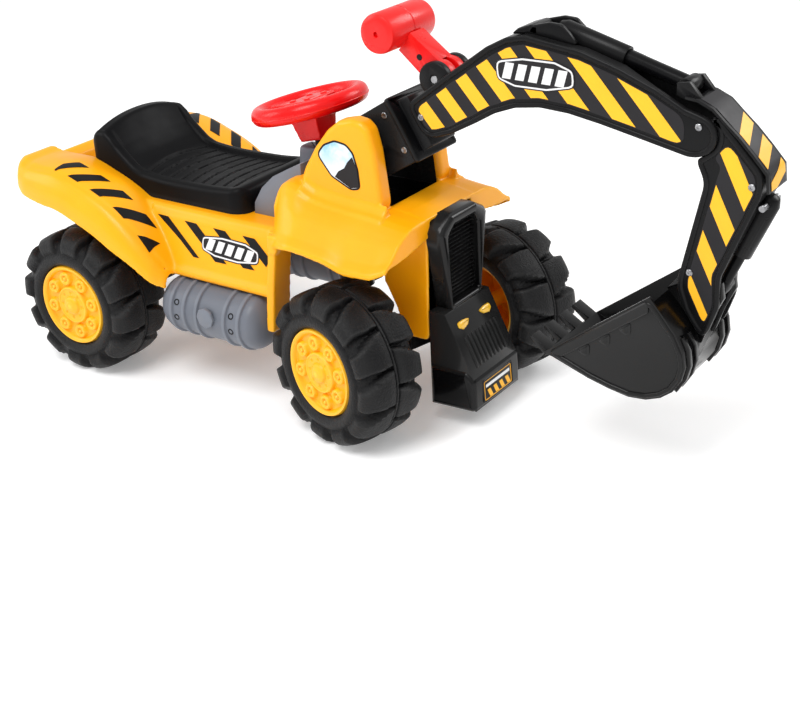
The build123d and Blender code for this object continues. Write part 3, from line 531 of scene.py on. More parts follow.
def rear_body():
    """Fenders, deck, side panels and tail as one blow-moulded shell."""
    solids = []
    fender = loft([[(x, y, z) for y, z in rear_section(x)] for x in np.linspace(-354, -88, 60)])
    side = [(95, 236), (99.7, 226), (117.3, 168), (123, 162), (123, 157), (118, 152), (111, 158),
            (93, 226), (80, 235.5), (80, 239), (89, 239)]
    side = fillet(side, 3, 3)
    panel = loft([[(x, y, z) for y, z in side] for x in np.linspace(-140, 76, 20)])
    # behind the crease the panel runs on under the fender's top
    wall = loft([[(x, y, z) for y, z in ((78, 236), (92, 236), (97, min(232, top)),
                                          (panel_y(top - 8), top - 8), (90, top - 8),
                                          (78, 232))]
                 for x in (-200, -180, -166, -150, -140, -129, -116, -104, -94)
                 for top in (min(fender_top(x, 100), 234),)])
    inner = prism([(-352, 232), (-352, 270), (-338, 281), (-315, 279), (-270, 279), (-210, 263),
                   (-160, 241), (-140, 232)], 76, 81)
    deck_band = prism([(-350, 234), (76, 234), (76, 239), (-350, 239)], 74, 90)
    tail_end = prism([(-353, 236), (-353, 268), (-348, 272), (-346, 236)], 60, 132)
    front = prism([(66, 236), (76, 236), (76, 160), (70, 160)], 96, 100)
    for part in (fender, panel, wall, inner, deck_band, tail_end, front):
        solids += [part, mirrored(part)]
    solids.append(prism([(-350, 233.5), (74, 233.5), (74, 238.5), (-350, 238.5)], -80, 80))
    tail = [(-354, 238), (-354, 260), (-350, 268), (-343, 270), (-330, 262), (-322, 240),
            (-322, 236), (-350, 233)]
    solids.append(prism(fillet(tail, 4, 3), -80, 80))
    solids.append(prism([(-352, 236), (-347, 236), (-347, 205), (-350, 205)], -84, 84))
    made = fused("rear_body_moulding", solids, 2.0, 6, "chassis", YELLOW, "yellow")
    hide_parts("body_shell")
    return made


# ---------------------------------------------------------------- stage
def stage():
    """A pale floor and soft studio lights."""
    floor_mesh = bpy.data.meshes.new("floor")
    floor_mesh.from_pydata([(-30, -30, 0), (30, -30, 0), (30, 30, 0), (-30, 30, 0)], [],
                           [(0, 1, 2, 3)])
    floor = bpy.data.objects.new("floor", floor_mesh)
    bpy.context.scene.collection.objects.link(floor)
    mat, tree, bsdf = shader("pale_floor", (0.94, 0.94, 0.94), 0.8)
    bsdf.inputs["Emission Color"].default_value = (1, 1, 1, 1)
    bsdf.inputs["Emission Strength"].default_value = 0.22
    tree.links.new(blend_colour(tree, noise(tree, 1.5, 2.0), (0.93, 0.93, 0.93),
                                (0.95, 0.95, 0.95)), bsdf.inputs["Base Color"])
    floor_mesh.materials.append(mat)

    world = bpy.data.worlds.new("studio")
    bpy.context.scene.world = world
    bpy.context.scene.view_settings.view_transform = "Standard"
    world.use_nodes = True
    world.node_tree.nodes["Background"].inputs["Color"].default_value = (1, 1, 1, 1)
    world.node_tree.nodes["Background"].inputs["Strength"].default_value = 0.7

    for name, spot, aim, size, power in (
            ("key", (0.3, -1.6, 2.7), (0.1, 0, 0.2), 1.4, 50),
            ("fill", (-2.4, -1.6, 1.5), (0, 0, 0.2), 1.6, 24),
            ("rim", (1.6, 2.2, 2.0), (0.2, 0, 0.3), 1.2, 30)):
        lamp = bpy.data.lights.new(name, "AREA")
        lamp.size = size
        lamp.energy = power
        light = bpy.data.objects.new(name, lamp)
        light.location = spot
        light.rotation_euler = (Vector(aim) - Vector(spot)).to_track_quat("-Z", "Y").to_euler()
        bpy.context.scene.collection.objects.link(light)


def camera():
    """The camera: azimuth, elevation, roll, lens and place were solved from the photograph."""
    azimuth, elevation, roll = radians(36.11), radians(26.17), radians(-2.924)
    back = Vector((sin(azimuth) * cos(elevation), -cos(azimuth) * cos(elevation), sin(elevation)))
    right = Vector((cos(azimuth), sin(azimuth), 0))
    up = back.cross(right)
    turned_right = right * cos(roll) + up * sin(roll)
    turned_up = up * cos(roll) - right * sin(roll)
    data = bpy.data.cameras.new("camera")
    data.sensor_width = 36.0
    data.lens = 64.96
    view = bpy.data.objects.new("camera", data)
    centre = turned_right * 0.15166 + turned_up * 0.00287 + back * 2.03583
    axes = Matrix((turned_right, turned_up, back)).transposed().to_4x4()
    view.matrix_world = Matrix.Translation(centre) @ axes
    bpy.context.scene.collection.objects.link(view)
    bpy.context.scene.camera = view


# ---------------------------------------------------------------- front cowl
HOOD_Y = (52, 70, 84, 94, 104, 114, 124, 132, 138, 142, 143.5)
HOOD_FALL = (0.0, 0.0, 0.03, 0.10, 0.22, 0.38, 0.62, 0.80, 0.89, 0.95, 1.0)
HOOD_X = (76, 80, 86, 96, 110, 130, 180, 215, 248, 276)
HOOD_TOP = (290, 298, 302, 304, 301, 291, 284, 282, 278, 273)
HOOD_EDGE = (228, 232, 234, 236, 239, 242, 236, 227, 228, 240)
HOOD_OUT = (104, 112, 121, 131, 138.5, 143.5, 143.5, 143.5, 143.5, 142)
TOWER = [(96, 283), (103, 301), (112, 322), (130, 350), (150, 374), (168, 388), (188, 393),
         (203, 391), (213, 382), (220, 356), (229, 280)]
LEG_FRONT = [(89, 246), (92, 232), (86, 175), (79, 110), (84, 110), (91, 175), (99, 232),
             (104, 246)]
LEG_SIDE = [(87, 246), (104, 246), (99, 232), (91, 175), (84, 110), (72, 110), (77, 165),
            (85, 220)]


def hood_height(x, y):
    """Height of the hood and front fender at a distance y from the centre plane."""
    top, edge = through(x, HOOD_X, HOOD_TOP), through(x, HOOD_X, HOOD_EDGE)
    scale = (through(x, HOOD_X, HOOD_OUT) - 84) / (HOOD_Y[-1] - 84)
    base = y if y <= 84 else 84 + (y - 84) / scale
    return top + (edge - top) * through(base, HOOD_Y, HOOD_FALL)


def pillow(outline, y_low, y_high, r, steps=4):
    """A prism along Y whose two rims are rounded."""
    turns = [(r * (1 - cos(a)), r * (1 - sin(a))) for a in np.linspace(0, pi / 2, steps + 1)]
    turns = [(y_low + y, i) for y, i in turns] + [(y_high - y, i) for y, i in reversed(turns)]
    return loft([[(x, y, z) for x, z in (inset(outline, i) if i > 0.01 else outline)]
                 for y, i in turns])


def front_cowl():
    """Hood, fenders, cab towers, rear legs and nose as one moulding."""
    sections = []
    for x in np.linspace(76, 276, 50):
        out = through(x, HOOD_X, HOOD_OUT)
        ys = [y if y <= 84 else 84 + (y - 84) * (out - 84) / (HOOD_Y[-1] - 84) for y in HOOD_Y]
        top = [(y, hood_height(x, y)) for y in ys]
        edge = top[-1]
        lip = [(edge[0] + 0.5, edge[1] - 4), (edge[0] - 1.5, edge[1] - 6), (edge[0] - 4.5, edge[1] - 4)]
        under = [(y - 3.5 * (k < 5), z - 4.5 * (k > 2) - 1.0) for k, (y, z) in
                 enumerate(reversed(top[:-1]))]
        sections.append([(x, y, z) for y, z in top + lip + under])
    hood = loft(sections)
    tower = fillet(TOWER, 12, 4)
    base = loft([[(x, y, hood_height(x, 84) + h) for y, h in
                  ((70, -4), (77, 15), (80, 8), (85, 3), (93, -1), (93, -4))]
                 for x in np.linspace(112, 236, 14)])
    rear_wall = loft([[(x, y, z) for x, z in ((75, 234), (76, top - 9), (80, top - 2), (82, 234))]
                      for y in np.linspace(62, 100, 12) for top in (hood_height(84, y),)])
    parts = [hood, pillow(tower, 52, 78, 7), base, rear_wall,
             prism(LEG_FRONT, 95, 129.5), prism(LEG_SIDE, 124.5, 129.5),
             prism([(72, 110), (77, 110), (82, 165), (90, 220), (92, 244), (87, 244), (85, 220),
                    (77, 165)], 100, 128),
             prism([(88, 222), (88, 246), (126, 246), (114, 240), (104, 232), (99, 222)], 120, 131),
             prism(fillet([(203, 255), (224, 255), (224, 279), (274, 270), (270, 110), (236, 110),
                           (222, 150), (206, 180)], 8, 3), 45.5, 50.5)]
    wall = [(46, 271)] + [(y, hood_height(276, y) - 1.5) for y in np.linspace(60, 142, 12)]
    wall += [(142, 237), (100, 240), (60, 247), (46, 250)]
    parts.append(loft([[(x, y, z) for y, z in wall] for x in (271.5, 276)]))
    parts += [mirrored(part) for part in parts]
    parts.append(prism([(222, 277.5), (250, 274.5), (276, 269), (276, 273.5), (250, 279), (222, 282)],
                       -54, 54))
    made = fused("front_cowl_moulding", parts, 1.8, 5, "chassis", YELLOW, "yellow")
    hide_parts("front_cowl")
    return made


# ---------------------------------------------------------------- seat
SEAT_X = (-266, -263, -256, -247, -238, -228, -214, -199, -184, -168, -120, -60, -20, -6, 1, 5, 6)
SEAT_TOP = (296, 312, 325, 331, 331, 324, 304, 286, 275, 270, 267, 268, 271, 273, 270, 263, 256)
GROOVES, GROOVE_PITCH, GROOVE_START = 9, 18.5, -184.0


def seat_height(x, y):
    """Height of the seat's top: raised backrest and rim, dished pad and cross grooves."""
    top = through(x, SEAT_X, SEAT_TOP)
    top -= 16 * (abs(y) / 80) ** 2.2 * (1 - ease(x, -235, -195))
    pad = ease(67 - abs(y), 0, 4) * ease(x, -236, -222) * (1 - ease(x, -24, -14))
    top -= 5.0 * pad
    arc = x - 12 * (y / 66) ** 2
    for k in range(GROOVES):
        away = abs(arc - GROOVE_START - GROOVE_PITCH * k)
        if away < 4 and abs(y) < 60:
            top -= 3.6 * (1 - ease(away, 0.8, 2.6)) * ease(62 - abs(y), 0, 4)
    return top


def seat():
    """The black moulded seat."""
    rows = []
    xs = list(np.arange(-266, 6.1, 1.3)) + [6]
    for x in xs:
        half = 80.0
        if x > -18:
            half -= 24 - (24**2 - (x + 18) ** 2) ** 0.5
        if x < -248:
            half -= 18 - (18**2 - (x + 248) ** 2) ** 0.5
        ys = np.linspace(-half + 8, half - 8, 90)
        crown = [(x, y, seat_height(x, y)) for y in ys]
        low = crown[0][2]
        left = [(x, -half - 1.0, 239), (x, -half, 246)]
        for a in np.linspace(0, pi / 2, 6):
            left.append((x, -half + 8 - 8 * cos(a), low - 8 + 8 * sin(a)))
        right = [(px, -py, pz) for px, py, pz in reversed(left)]
        rows.append(left + crown + right)
    for end in (0, -1):
        flat = [(x, y, 239) for x, y, _ in rows[end]]
        rows = [flat] + rows if end == 0 else rows + [flat]
    verts, faces = grid(rows)
    across = len(rows[0])
    faces += [(i * across, (i + 1) * across, (i + 2) * across - 1, (i + 1) * across - 1)
              for i in range(len(rows) - 1)]
    stand_in("seat", SEAT, (verts, faces), 40)


# ---------------------------------------------------------------- wheels
TYRE_HALF = 47.5
LUGS = 12
# Half of the tyre's section from the middle out: carcass (radius, y), lug top (radius, y)
TREAD = [((97.5, 0), (98.2, 0)), ((97.5, 1.2), (98.2, 1.2)), ((92, 2.2), (96.5, 2.2)),
         ((91, 4), (99, 3.6)), ((91, 9), (100, 8)), ((90.5, 16), (100, 16)), ((90, 23), (99.8, 23)),
         ((89, 30), (99, 31)), ((87, 35), (97.4, 37)), ((84.5, 38.5), (94.6, 42)),
         ((82, 40.5), (91, 45)), ((80, 41.5), (87, 46.8)), ((78, 42.4), (82.5, 47.4)),
         ((76, 43), (78.5, 46.5)), ((74.6, 43.4), (75.2, 44.2)), ((73.6, 44.6), (73.6, 44.6)),
         ((71, 46.4), (71, 46.4)), ((67, 47.2), (67, 47.2)), ((63, 46.6), (63, 46.6)),
         ((59.6, 44.6), (59.6, 44.6)), ((57.6, 41.5), (57.6, 41.5)), ((56.8, 37), (56.8, 37))]


def lug_mask(turn_deg, y, side):
    """1 on a lug and 0 in the groove beside it, with curved flanks."""
    out = abs(y) / TYRE_HALF
    pitch = 360 / LUGS
    lean = 7.0 * out**1.6
    local = (turn_deg + (pitch / 2 if side > 0 else 0) + lean) % pitch
    away = min(local, pitch - local)
    groove = 1.5 + 4.6 * ease(out, 0.25, 0.95)
    return ease(away, groove * 0.55, groove * 1.15 + 0.5)


def wheel_plane(corner):
    """A wheel's centre, from its tyre's box, and its outward direction, from its joint."""
    low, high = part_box("tyre_" + corner)
    centre = (low + high) / 2 / MM
    side = 1 if "left" in corner else -1
    joint = next(j for j in frame["joints"] if j["child"] == corner + "_wheel")
    outward = Vector(joint["axis"]).normalized() * side
    return centre, outward


def around(centre, outward):
    """Turns radius, angle and distance along the axle into a point."""
    up = Vector((0, 0, 1))
    fore = up.cross(outward).normalized()
    return lambda r, a, y: tuple(centre + outward * y + fore * (r * cos(a)) + up * (r * sin(a)))


def tyre(corner):
    """A chunky moulded tyre: two staggered rows of lugs and a centre bead."""
    at = around(*wheel_plane(corner))
    profile = [(b, t, -1) for b, t in reversed(TREAD)] + [(b, t, 1) for b, t in TREAD[1:]]
    rows = []
    for i in range(360):
        turn_deg = float(i)
        row = []
        for base, top, side in profile:
            m = lug_mask(turn_deg, top[1], side)
            r = base[0] + (top[0] - base[0]) * m
            y = side * (base[1] + (top[1] - base[1]) * m)
            row.append(at(r, radians(turn_deg), y))
        rows.append(row + [at(57.2, radians(turn_deg), 0)])
    stand_in("tyre_" + corner, TYRE, looped(rows), 38, clean=False)


BOSSES, BOSS_CIRCLE, DIMPLE_CIRCLE = 8, 38.5, 18.0


def hub_face(r, a):
    """Height of the wheel disc's outer face: rim, bolt bosses, centre plate and dome."""
    h = 38.5 + 4.4 * ease(r, 48.5, 51)  # the web, and the rise to the rim
    h += 1.5 * ease(r, 51, 53) - 5.0 * ease(r, 55.4, 56.9)
    for turn_to in turn(BOSSES):
        d = hypot(r * cos(a) - BOSS_CIRCLE * cos(turn_to + 0.2),
                  r * sin(a) - BOSS_CIRCLE * sin(turn_to + 0.2))
        if d < 12:
            h += 5.6 * (1 - ease(d, 8.4, 10.6)) - 3.0 * (1 - ease(d, 3.6, 5.6))
            h += 2.8 * (1 - ease(d, 1.6, 3.2))
    h += 5.4 * (1 - ease(r, 25.4, 27.4)) - 0.9 * (1 - ease(r, 22.6, 24.2))
    for turn_to in turn(BOSSES):
        d = hypot(r * cos(a) - DIMPLE_CIRCLE * cos(turn_to), r * sin(a) - DIMPLE_CIRCLE * sin(turn_to))
        if d < 4:
            h -= 1.4 * (1 - ease(d, 1.6, 2.8))
    if r < 12.4:
        return h + 3.6 * (1 - (r / 12.5) ** 2) ** 0.5 + 1.6
    return h + 1.6 * (1 - ease(r, 12.4, 13.4))


def hub(corner):
    """The yellow wheel disc."""
    at = around(*wheel_plane(corner))
    radii = [0.01] + list(np.linspace(1, 57, 64))
    rows = []
    for a in turn(240):
        face = [at(r, a, hub_face(r, a)) for r in radii]
        back = [at(56.9, a, -40), at(53.5, a, -40), at(53.5, a, 34), at(11, a, 34), at(10, a, -46),
                at(6.2, a, -46)]
        rows.append(face + back)
    stand_in("hub_" + corner, HUB_YELLOW, grid(rows, close_u=True), 50)


# ---------------------------------------------------------------- side tanks
def turned(profile, centre, axis, steps=96):
    """A turned solid: (radius, distance along the axis) about an axis."""
    c, n = Vector(centre), Vector(axis).normalized()
    a1 = n.orthogonal().normalized()
    a2 = n.cross(a1)
    rows = []
    for a in turn(steps):
        rows.append([tuple(c + n * h + (a1 * cos(a) + a2 * sin(a)) * r) for r, h in profile])
    return grid(rows, close_u=True)


TANK_Y, TANK_Z, TANK_R = 112.0, 113.0, 39.0


def side_tank(side, label):
    """A grey ribbed tank with a domed front end and screw holes, the holes drawn as black discs of painted shade.
    """
    wall, rib = TANK_R - 1.4, TANK_R + 1.2
    profile = [(0.01, -98), (27, -98), (31, -96.5), (35, -91), (wall, -85)]
    for x in (-78, -56, -34, 14, 38):
        profile += [(wall, x - 1), (rib, x + 0.6), (rib + 0.3, x + 3), (rib, x + 5.4),
                    (wall, x + 7)]
    for a in np.linspace(0.12, pi / 2, 12):
        profile.append((max(wall * cos(a), 0.01), 47 + 23 * sin(a)))
    stand_in(f"side_tank_{label}", GREY, turned(profile, (0, side * TANK_Y, TANK_Z), (1, 0, 0)))
    # Each screw hole is a black disc with a raised rim in the sticker ink: painted shade for the dark inside of
    # the hole.
    for k, (x, lift) in enumerate(((-66, 24), (-66, -8), (28, 24), (28, -8))):
        a = radians(lift)
        reach = wall - 0.5
        spot = Vector((x, side * (TANK_Y + reach * cos(a)), TANK_Z + reach * sin(a)))
        out = Vector((0, side * cos(a), sin(a)))
        hole = turned([(0.01, 0.4), (2.6, 0.4), (2.9, 0.9), (4.2, 1.0), (4.4, 0.2)], spot, out, 20)
        piece(f"tank_{label}_hole_{k}", "chassis", INK, "grey", *hole, clean=True)
    strap = fillet([(-70, 150), (-44, 150), (-44, 172), (-70, 172)], 3, 2)
    for k, shift in enumerate((0, 82)):
        band = prism([(x + shift, z) for x, z in strap], *sorted((side * 104, side * 112)))
        piece(f"tank_{label}_strap_{k}", "chassis", GREY, "grey", *band)


# ---------------------------------------------------------------- stickers
def ring(name, outline, width, height, place, body, mat, slot):
    """A raised rounded rim that follows a closed outline inwards."""
    section = [(0.0, -2.0), (0.0, 0.0)]
    for k in range(5):
        a = k / 4 * pi
        section.append((0.8 + (width - 1.6) * (1 - cos(a)) / 2 if k not in (0, 4) else
                        (0.4 if k == 0 else width - 0.4), height * (0.55 if k in (0, 4) else 1.0)))
    section += [(width, 0.0), (width, -2.0)]
    rows = [[place(u, v, h) for u, v in (inset(outline, i) if i else outline)]
            for i, h in section]
    piece(name, body, mat, slot, *looped(rows), smooth=50)


STICKER_CELL, STICKER_LIFT = 3.5, 0.5


def draped(name, outline, target, start, aim, mat, lift=STICKER_LIFT):
    """A thin sticker on a yellow moulding: cells of its outline thrown along aim onto it."""
    tree = BVHTree.FromPolygons([v.co for v in target.data.vertices],
                                [tuple(p.vertices) for p in target.data.polygons])
    lows = [min(p[k] for p in outline) for k in (0, 1)]
    highs = [max(p[k] for p in outline) for k in (0, 1)]
    counts = [max(int((high - low) / STICKER_CELL), 1) for low, high in zip(lows, highs)]
    steps = [(high - low) / count for low, high, count in zip(lows, highs, counts)]
    verts, faces, known = [], [], {}
    for i in range(counts[0]):
        left, right = lows[0] + i * steps[0], lows[0] + (i + 1) * steps[0]
        strip = clip(clip(outline, lambda p: p[0] - left), lambda p: right - p[0])
        for j in range(counts[1]):
            low, high = lows[1] + j * steps[1], lows[1] + (j + 1) * steps[1]
            part = clip(strip, lambda p: p[1] - low)
            part = clip(part, lambda p: high - p[1])
            face = []
            for u, v in part:
                key = (round(u, 2), round(v, 2))
                if key not in known:
                    hit, normal, _, _ = tree.ray_cast(Vector(start(u, v)) * MM, Vector(aim))
                    if hit is None:
                        continue
                    known[key] = len(verts)
                    if normal.dot(Vector(aim)) > 0:
                        normal = -normal
                    verts.append(hit / MM + normal * lift)
                if known[key] not in face:
                    face.append(known[key])
            if len(face) > 2:
                faces.append(tuple(face))
    thicken(piece(name, "chassis", mat, "yellow", verts, faces), 0.25)


def side_sticker(name, outline, target, side, mat, lift=STICKER_LIFT):
    """A sticker laid over a moulding from its side."""
    draped(name, outline, target, lambda u, v: (u, side * 300, v), (0, -side, 0), mat, lift)


def emblem(name, centre, half, tall, lean, lay):
    """A plain badge: a dark lozenge edged in white with slanted white blocks, laid by lay()."""
    cx, cz = centre
    edge = [(-1, 0.55), (-0.3, 0.95), (0.5, 1), (0.96, 0.6), (1, -0.5), (0.3, -0.95), (-0.5, -1),
            (-0.96, -0.65)]
    for k, (shrink, paint) in enumerate(((0, CHARCOAL), (1.4, PAPER), (3.4, CHARCOAL))):
        shape = [(cx + u * half, cz + v * tall + lean * u * half) for u, v in edge]
        lay(f"{name}_{k}", inset(fillet(shape, tall * 0.5, 3), shrink), paint,
            0.3 + 0.22 * k)
    for k in range(5):
        u = (k - 2) * half * 0.33
        bar = [(cx + u + du, cz + dv * tall * 0.5 + lean * (u + du)) for du, dv in
               ((-8, -1), (3, -1), (8, 1), (-3, 1))]
        lay(f"{name}_bar_{k}", bar, PAPER, 1.0)


def rear_stickers(shell):
    """Hazard bands on both rear fenders and side panels, with a plain badge."""
    for side, label in SIDES:
        region = [(-268, 111), (-109, 111), (-109, 143), (-268, 145)]
        for k, shape in enumerate(bands(region, -163.5, 38.5, 17.5, 5, -0.82)):
            draped(f"fender_band_{label}_{k}", shape, shell, lambda u, v: (u, side * v, 400),
                   (0, 0, -1), INK)
        region = [(-128, 226), (48, 222), (70, 203), (62, 184), (-58, 182), (-84, 200)]
        for k, shape in enumerate(bands(region, 187, 48.5, 20, 4, -1.4)):
            side_sticker(f"panel_band_{label}_{k}", shape, shell, side, INK)

        def lay(name, shape, paint, lift):
            side_sticker(name, shape, shell, side, paint, lift + 0.25)

        emblem(f"panel_badge_{label}", (3, 201), 50, 14.5, -0.05, lay)


def well_walls():
    """Black lining on the inner faces of the two cab towers."""
    outline = [(116, 262), (116, 326), (132, 348), (152, 370), (170, 382), (190, 386), (200, 384),
               (207, 376), (213, 352), (221, 284), (221, 262)]
    for side, label in SIDES:
        decal(f"well_wall_{label}", fillet(outline, 6, 3),
              lambda u, v, h: (u, side * (51.6 - h), v), "chassis", SATIN, "black_satin", 1.0, -0.6)


def windows(shell):
    """A printed window on each cab tower."""
    outline = [(134, 343), (146, 357), (163, 364.5), (181, 362), (191, 352), (197, 332),
               (199, 307), (184, 304), (155, 317)]
    outline = fillet(outline, 14, 5)
    lower = [(161, 318), (167, 326), (176, 331), (181, 339), (189, 347), (195, 333),
             (197, 309.5), (184, 307)]
    for side, label in SIDES:
        for k, (shape, paint) in enumerate(((outline, INK), (inset(outline, 2.4), SKY),
                                            (lower, CHARCOAL))):
            side_sticker(f"window_{label}_{k}", shape, shell, side, paint, 0.3 + 0.25 * k)


# ---------------------------------------------------------------- arm
BOOM_Y, STICK_Y, BUCKET_Y = 30, 25, 62
BOOM_RIM = [(238, 406), (260, 421), (292, 445), (322, 466), (350, 486), (375, 499), (400, 504),
            (426, 500.5), (470, 494.5), (517, 480.5), (560, 463.5), (594, 446), (607, 442.5),
            (621, 437.5), (629, 427), (630, 414), (623, 402), (610, 395.8), (598, 395), (548, 405.5),
            (494, 416.5), (455, 423), (419, 425), (387, 420.5), (360, 410.5), (334, 395.5),
            (300, 377.5), (263, 365)]
STICK_RIM = [(607, 392), (608, 386), (616.5, 368), (591, 255), (590, 243), (600, 215), (624, 181),
             (640, 227), (639.5, 262), (680, 362), (681, 385), (664, 403), (646, 422), (632, 436),
             (620, 441), (630, 425), (628, 408)]


def arm_half(node_name, outline, half_y, wall, floor, side):
    """One half of an arm: a cheek with a rounded rim and a wall inwards to floor(x, z)."""
    loop = fillet(outline, 30, 4)
    inner = half_y - wall
    turns = [(inner, 0.0)] + [(half_y - 3 * (1 - cos(a)), 2.7 * (1 - sin(a)))
                              for a in np.linspace(pi / 2, 0, 5)]
    cheek = loft([[(u, side * y, v) for u, v in (inset(loop, i) if i > 0.02 else loop)]
                  for y, i in turns])
    within = inset(loop, wall)
    rows = []
    for (u0, v0), (u1, v1) in zip(loop, within):
        low = floor(u0, v0)
        rows.append([(u0, side * low, v0), (u0, side * (inner + 0.5), v0),
                     (u1, side * (inner + 0.5), v1), (u1, side * low, v1)])
    walls = looped(rows)
    stand_in(node_name, SATIN, merged([cheek, walls]), 40)


def boom_floor(x, z):
    """How far towards the middle the boom's walls reach: open under the cylinder and elbow."""
    if x > 556:
        return 25.8
    return 15.6 if x > 400 and z > 470 else 0.1


def stick_floor(x, z):
    """How far inwards the stick's walls reach: open at the elbow and at the bucket."""
    return 21.8 if z < 285 or (x < 632 and z > 370) else 0.1


def arm_side(name, outline, half_y, region, rule, side, label):
    """A raised rim, dark panel and hazard bands on one face of an arm."""
    place = side_on(side, half_y)
    rim = fillet(outline, 30, 4)
    ring(f"{name}_rim_{label}", rim, 6.5, 1.7, place, name, SATIN, "black_satin")
    panel = fillet(region, 20, 4)
    decal(f"{name}_panel_{label}", panel, place, name, CHARCOAL, "black_satin")
    for k, shape in enumerate(bands(inset(panel, 1.2), *rule)):
        decal(f"{name}_band_{label}_{k}", shape, place, name, STRIPE, "black_satin", 0.3, 0.35)


def arm_stickers():
    """Rims, panels and bands of boom and stick, the badge, and the guard's bands."""
    boom_region = [(251, 403), (270, 416), (300, 438), (330, 459), (352, 474), (377, 489),
                   (400, 494), (426, 491), (468, 485), (512, 472), (556, 455), (592, 437),
                   (594, 405), (550, 415), (496, 426), (456, 433), (418, 435), (384, 430),
                   (356, 419), (330, 404), (298, 386), (266, 375)]
    stick_region = [(626, 396), (634, 388), (628, 366), (602, 254), (602, 243), (624, 200),
                    (632, 228), (631, 264), (672, 364), (673, 382), (657, 398), (640, 416)]
    for side, label in SIDES:
        arm_half(f"boom_{label}", BOOM_RIM, BOOM_Y, 4, boom_floor, side)
        arm_half(f"stick_{label}", STICK_RIM, STICK_Y, 3, stick_floor, side)
        arm_side("boom", BOOM_RIM, BOOM_Y, boom_region, (615, 46, 23, 9, -0.9), side, label)
        arm_side("stick", STICK_RIM, STICK_Y, stick_region, (717, 39, 18.5, 5, -0.5), side, label)

        def lay(name, shape, paint, lift):
            decal(name, shape, side_on(side, BOOM_Y), "boom", paint, "black_satin", 0.25, lift + 0.45)

        emblem(f"boom_badge_{label}", (413, 462), 51, 18.5, -0.02, lay)
    guard = fillet([(590, 458.2), (604, 456.7), (622, 449.2), (638.5, 434.2), (652, 422),
                    (669, 405.2), (686, 387), (688.2, 366)], 10, 4, closed=False)
    run = [0.0]
    for (x0, z0), (x1, z1) in zip(guard, guard[1:]):
        run.append(run[-1] + hypot(x1 - x0, z1 - z0))

    def on_guard(s, y, lift):
        x = float(np.interp(s, run, [p[0] for p in guard]))
        z = float(np.interp(s, run, [p[1] for p in guard]))
        ahead = float(np.interp(s + 1, run, [p[0] for p in guard])) - x
        rise = float(np.interp(s + 1, run, [p[1] for p in guard])) - z
        size = max(hypot(ahead, rise), 1e-6)
        return (x - rise / size * lift, y, z + ahead / size * lift)

    def strip(name, from_y, to_y, near, far, paint, lift):
        rows = []
        for y in np.linspace(from_y, to_y, 9):
            rows.append([on_guard(s, y, lift) for s in np.linspace(near(y), far(y), 14)])
        thicken(piece(name, "stick", paint, "black_satin", *grid(rows)), 0.3)

    last = run[-1] - 2
    strip("guard_panel", -20, 20, lambda y: 16.0, lambda y: last, CHARCOAL, 0.2)
    for k in range(3):
        start = 62 + 31 * k
        strip(f"guard_band_{k}", -19, 19, lambda y: min(max(start - 0.45 * y, 17), last - 1),
              lambda y: min(max(start + 16 - 0.45 * y, 18), last), STRIPE, 0.5)


def grip():
    """The lever's red T grip: rounded ends with a hole and a seam round the middle."""
    profile = [(0.01, -43.5), (3.2, -43.5), (3.6, -46.6), (15, -47), (20, -46.4), (22.8, -44.6),
               (24, -41), (24, -1.1), (23.2, -0.5), (23.2, 0.5), (24, 1.1), (24, 41), (22.8, 44.6),
               (20, 46.4), (15, 47), (3.6, 46.6), (3.2, 43.5), (0.01, 43.5)]
    stand_in("lever_grip", RED, turned(profile, (210, 0, 489), (0, 1, 0)))


def cylinder_clevis():
    """The upper cylinder's foot: two rounded lugs and a saddle on the boom."""
    lug = fillet([(398, 505), (403, 513), (424, 518), (440, 517), (449, 509), (461, 496), (426, 500)],
                 9, 4)
    saddle = fillet([(376, 500.5), (385, 508), (400, 513), (411, 513.5), (411, 503), (400, 503)],
                    3, 3)
    ear = pillow(lug, 13.5, 20, 1.6)
    stand_in("cylinder_mount", SATIN, merged([ear, mirrored(ear), pillow(saddle, -20, 20, 2)]), 40)


def lever_hole_shades():
    """The small through hole in both faces of the lever's arm, drawn as a black disc of painted shade."""
    for side, label in SIDES:
        hole = turned([(0.01, 0.3), (2.4, 0.35), (2.7, 0.6), (3.6, 0.5), (3.8, 0)],
                      (248, side * 14, 459), (0, side, 0), 20)
        # The black disc is painted shade standing for the dark inside of the hole.
        piece(f"lever_hole_{label}", "lever", INK, "red", *hole, clean=True)


def block(place, u, v, h, taper=0.0):
    """A box in a plane's own directions, narrowing by taper towards its low end."""
    low = [(u[0] + taper, v[0] + taper), (u[1] - taper, v[0] + taper),
           (u[1] - taper, v[1] - taper), (u[0] + taper, v[1] - taper)]
    high = [(u[0], v[0]), (u[1], v[0]), (u[1], v[1]), (u[0], v[1])]
    return loft([[place(x, y, h[0]) for x, y in low], [place(x, y, h[1]) for x, y in high]])


def hoop(place, radius, wide, tall, height, facets):
    """A ring in a plane, with an oval section and its middle at a height."""
    rows = []
    for a in turn(96):
        rows.append([place((radius + wide * cos(b)) * cos(a), (radius + wide * cos(b)) * sin(a),
                           height + tall * sin(b)) for b in turn(facets)])
    return looped(rows)


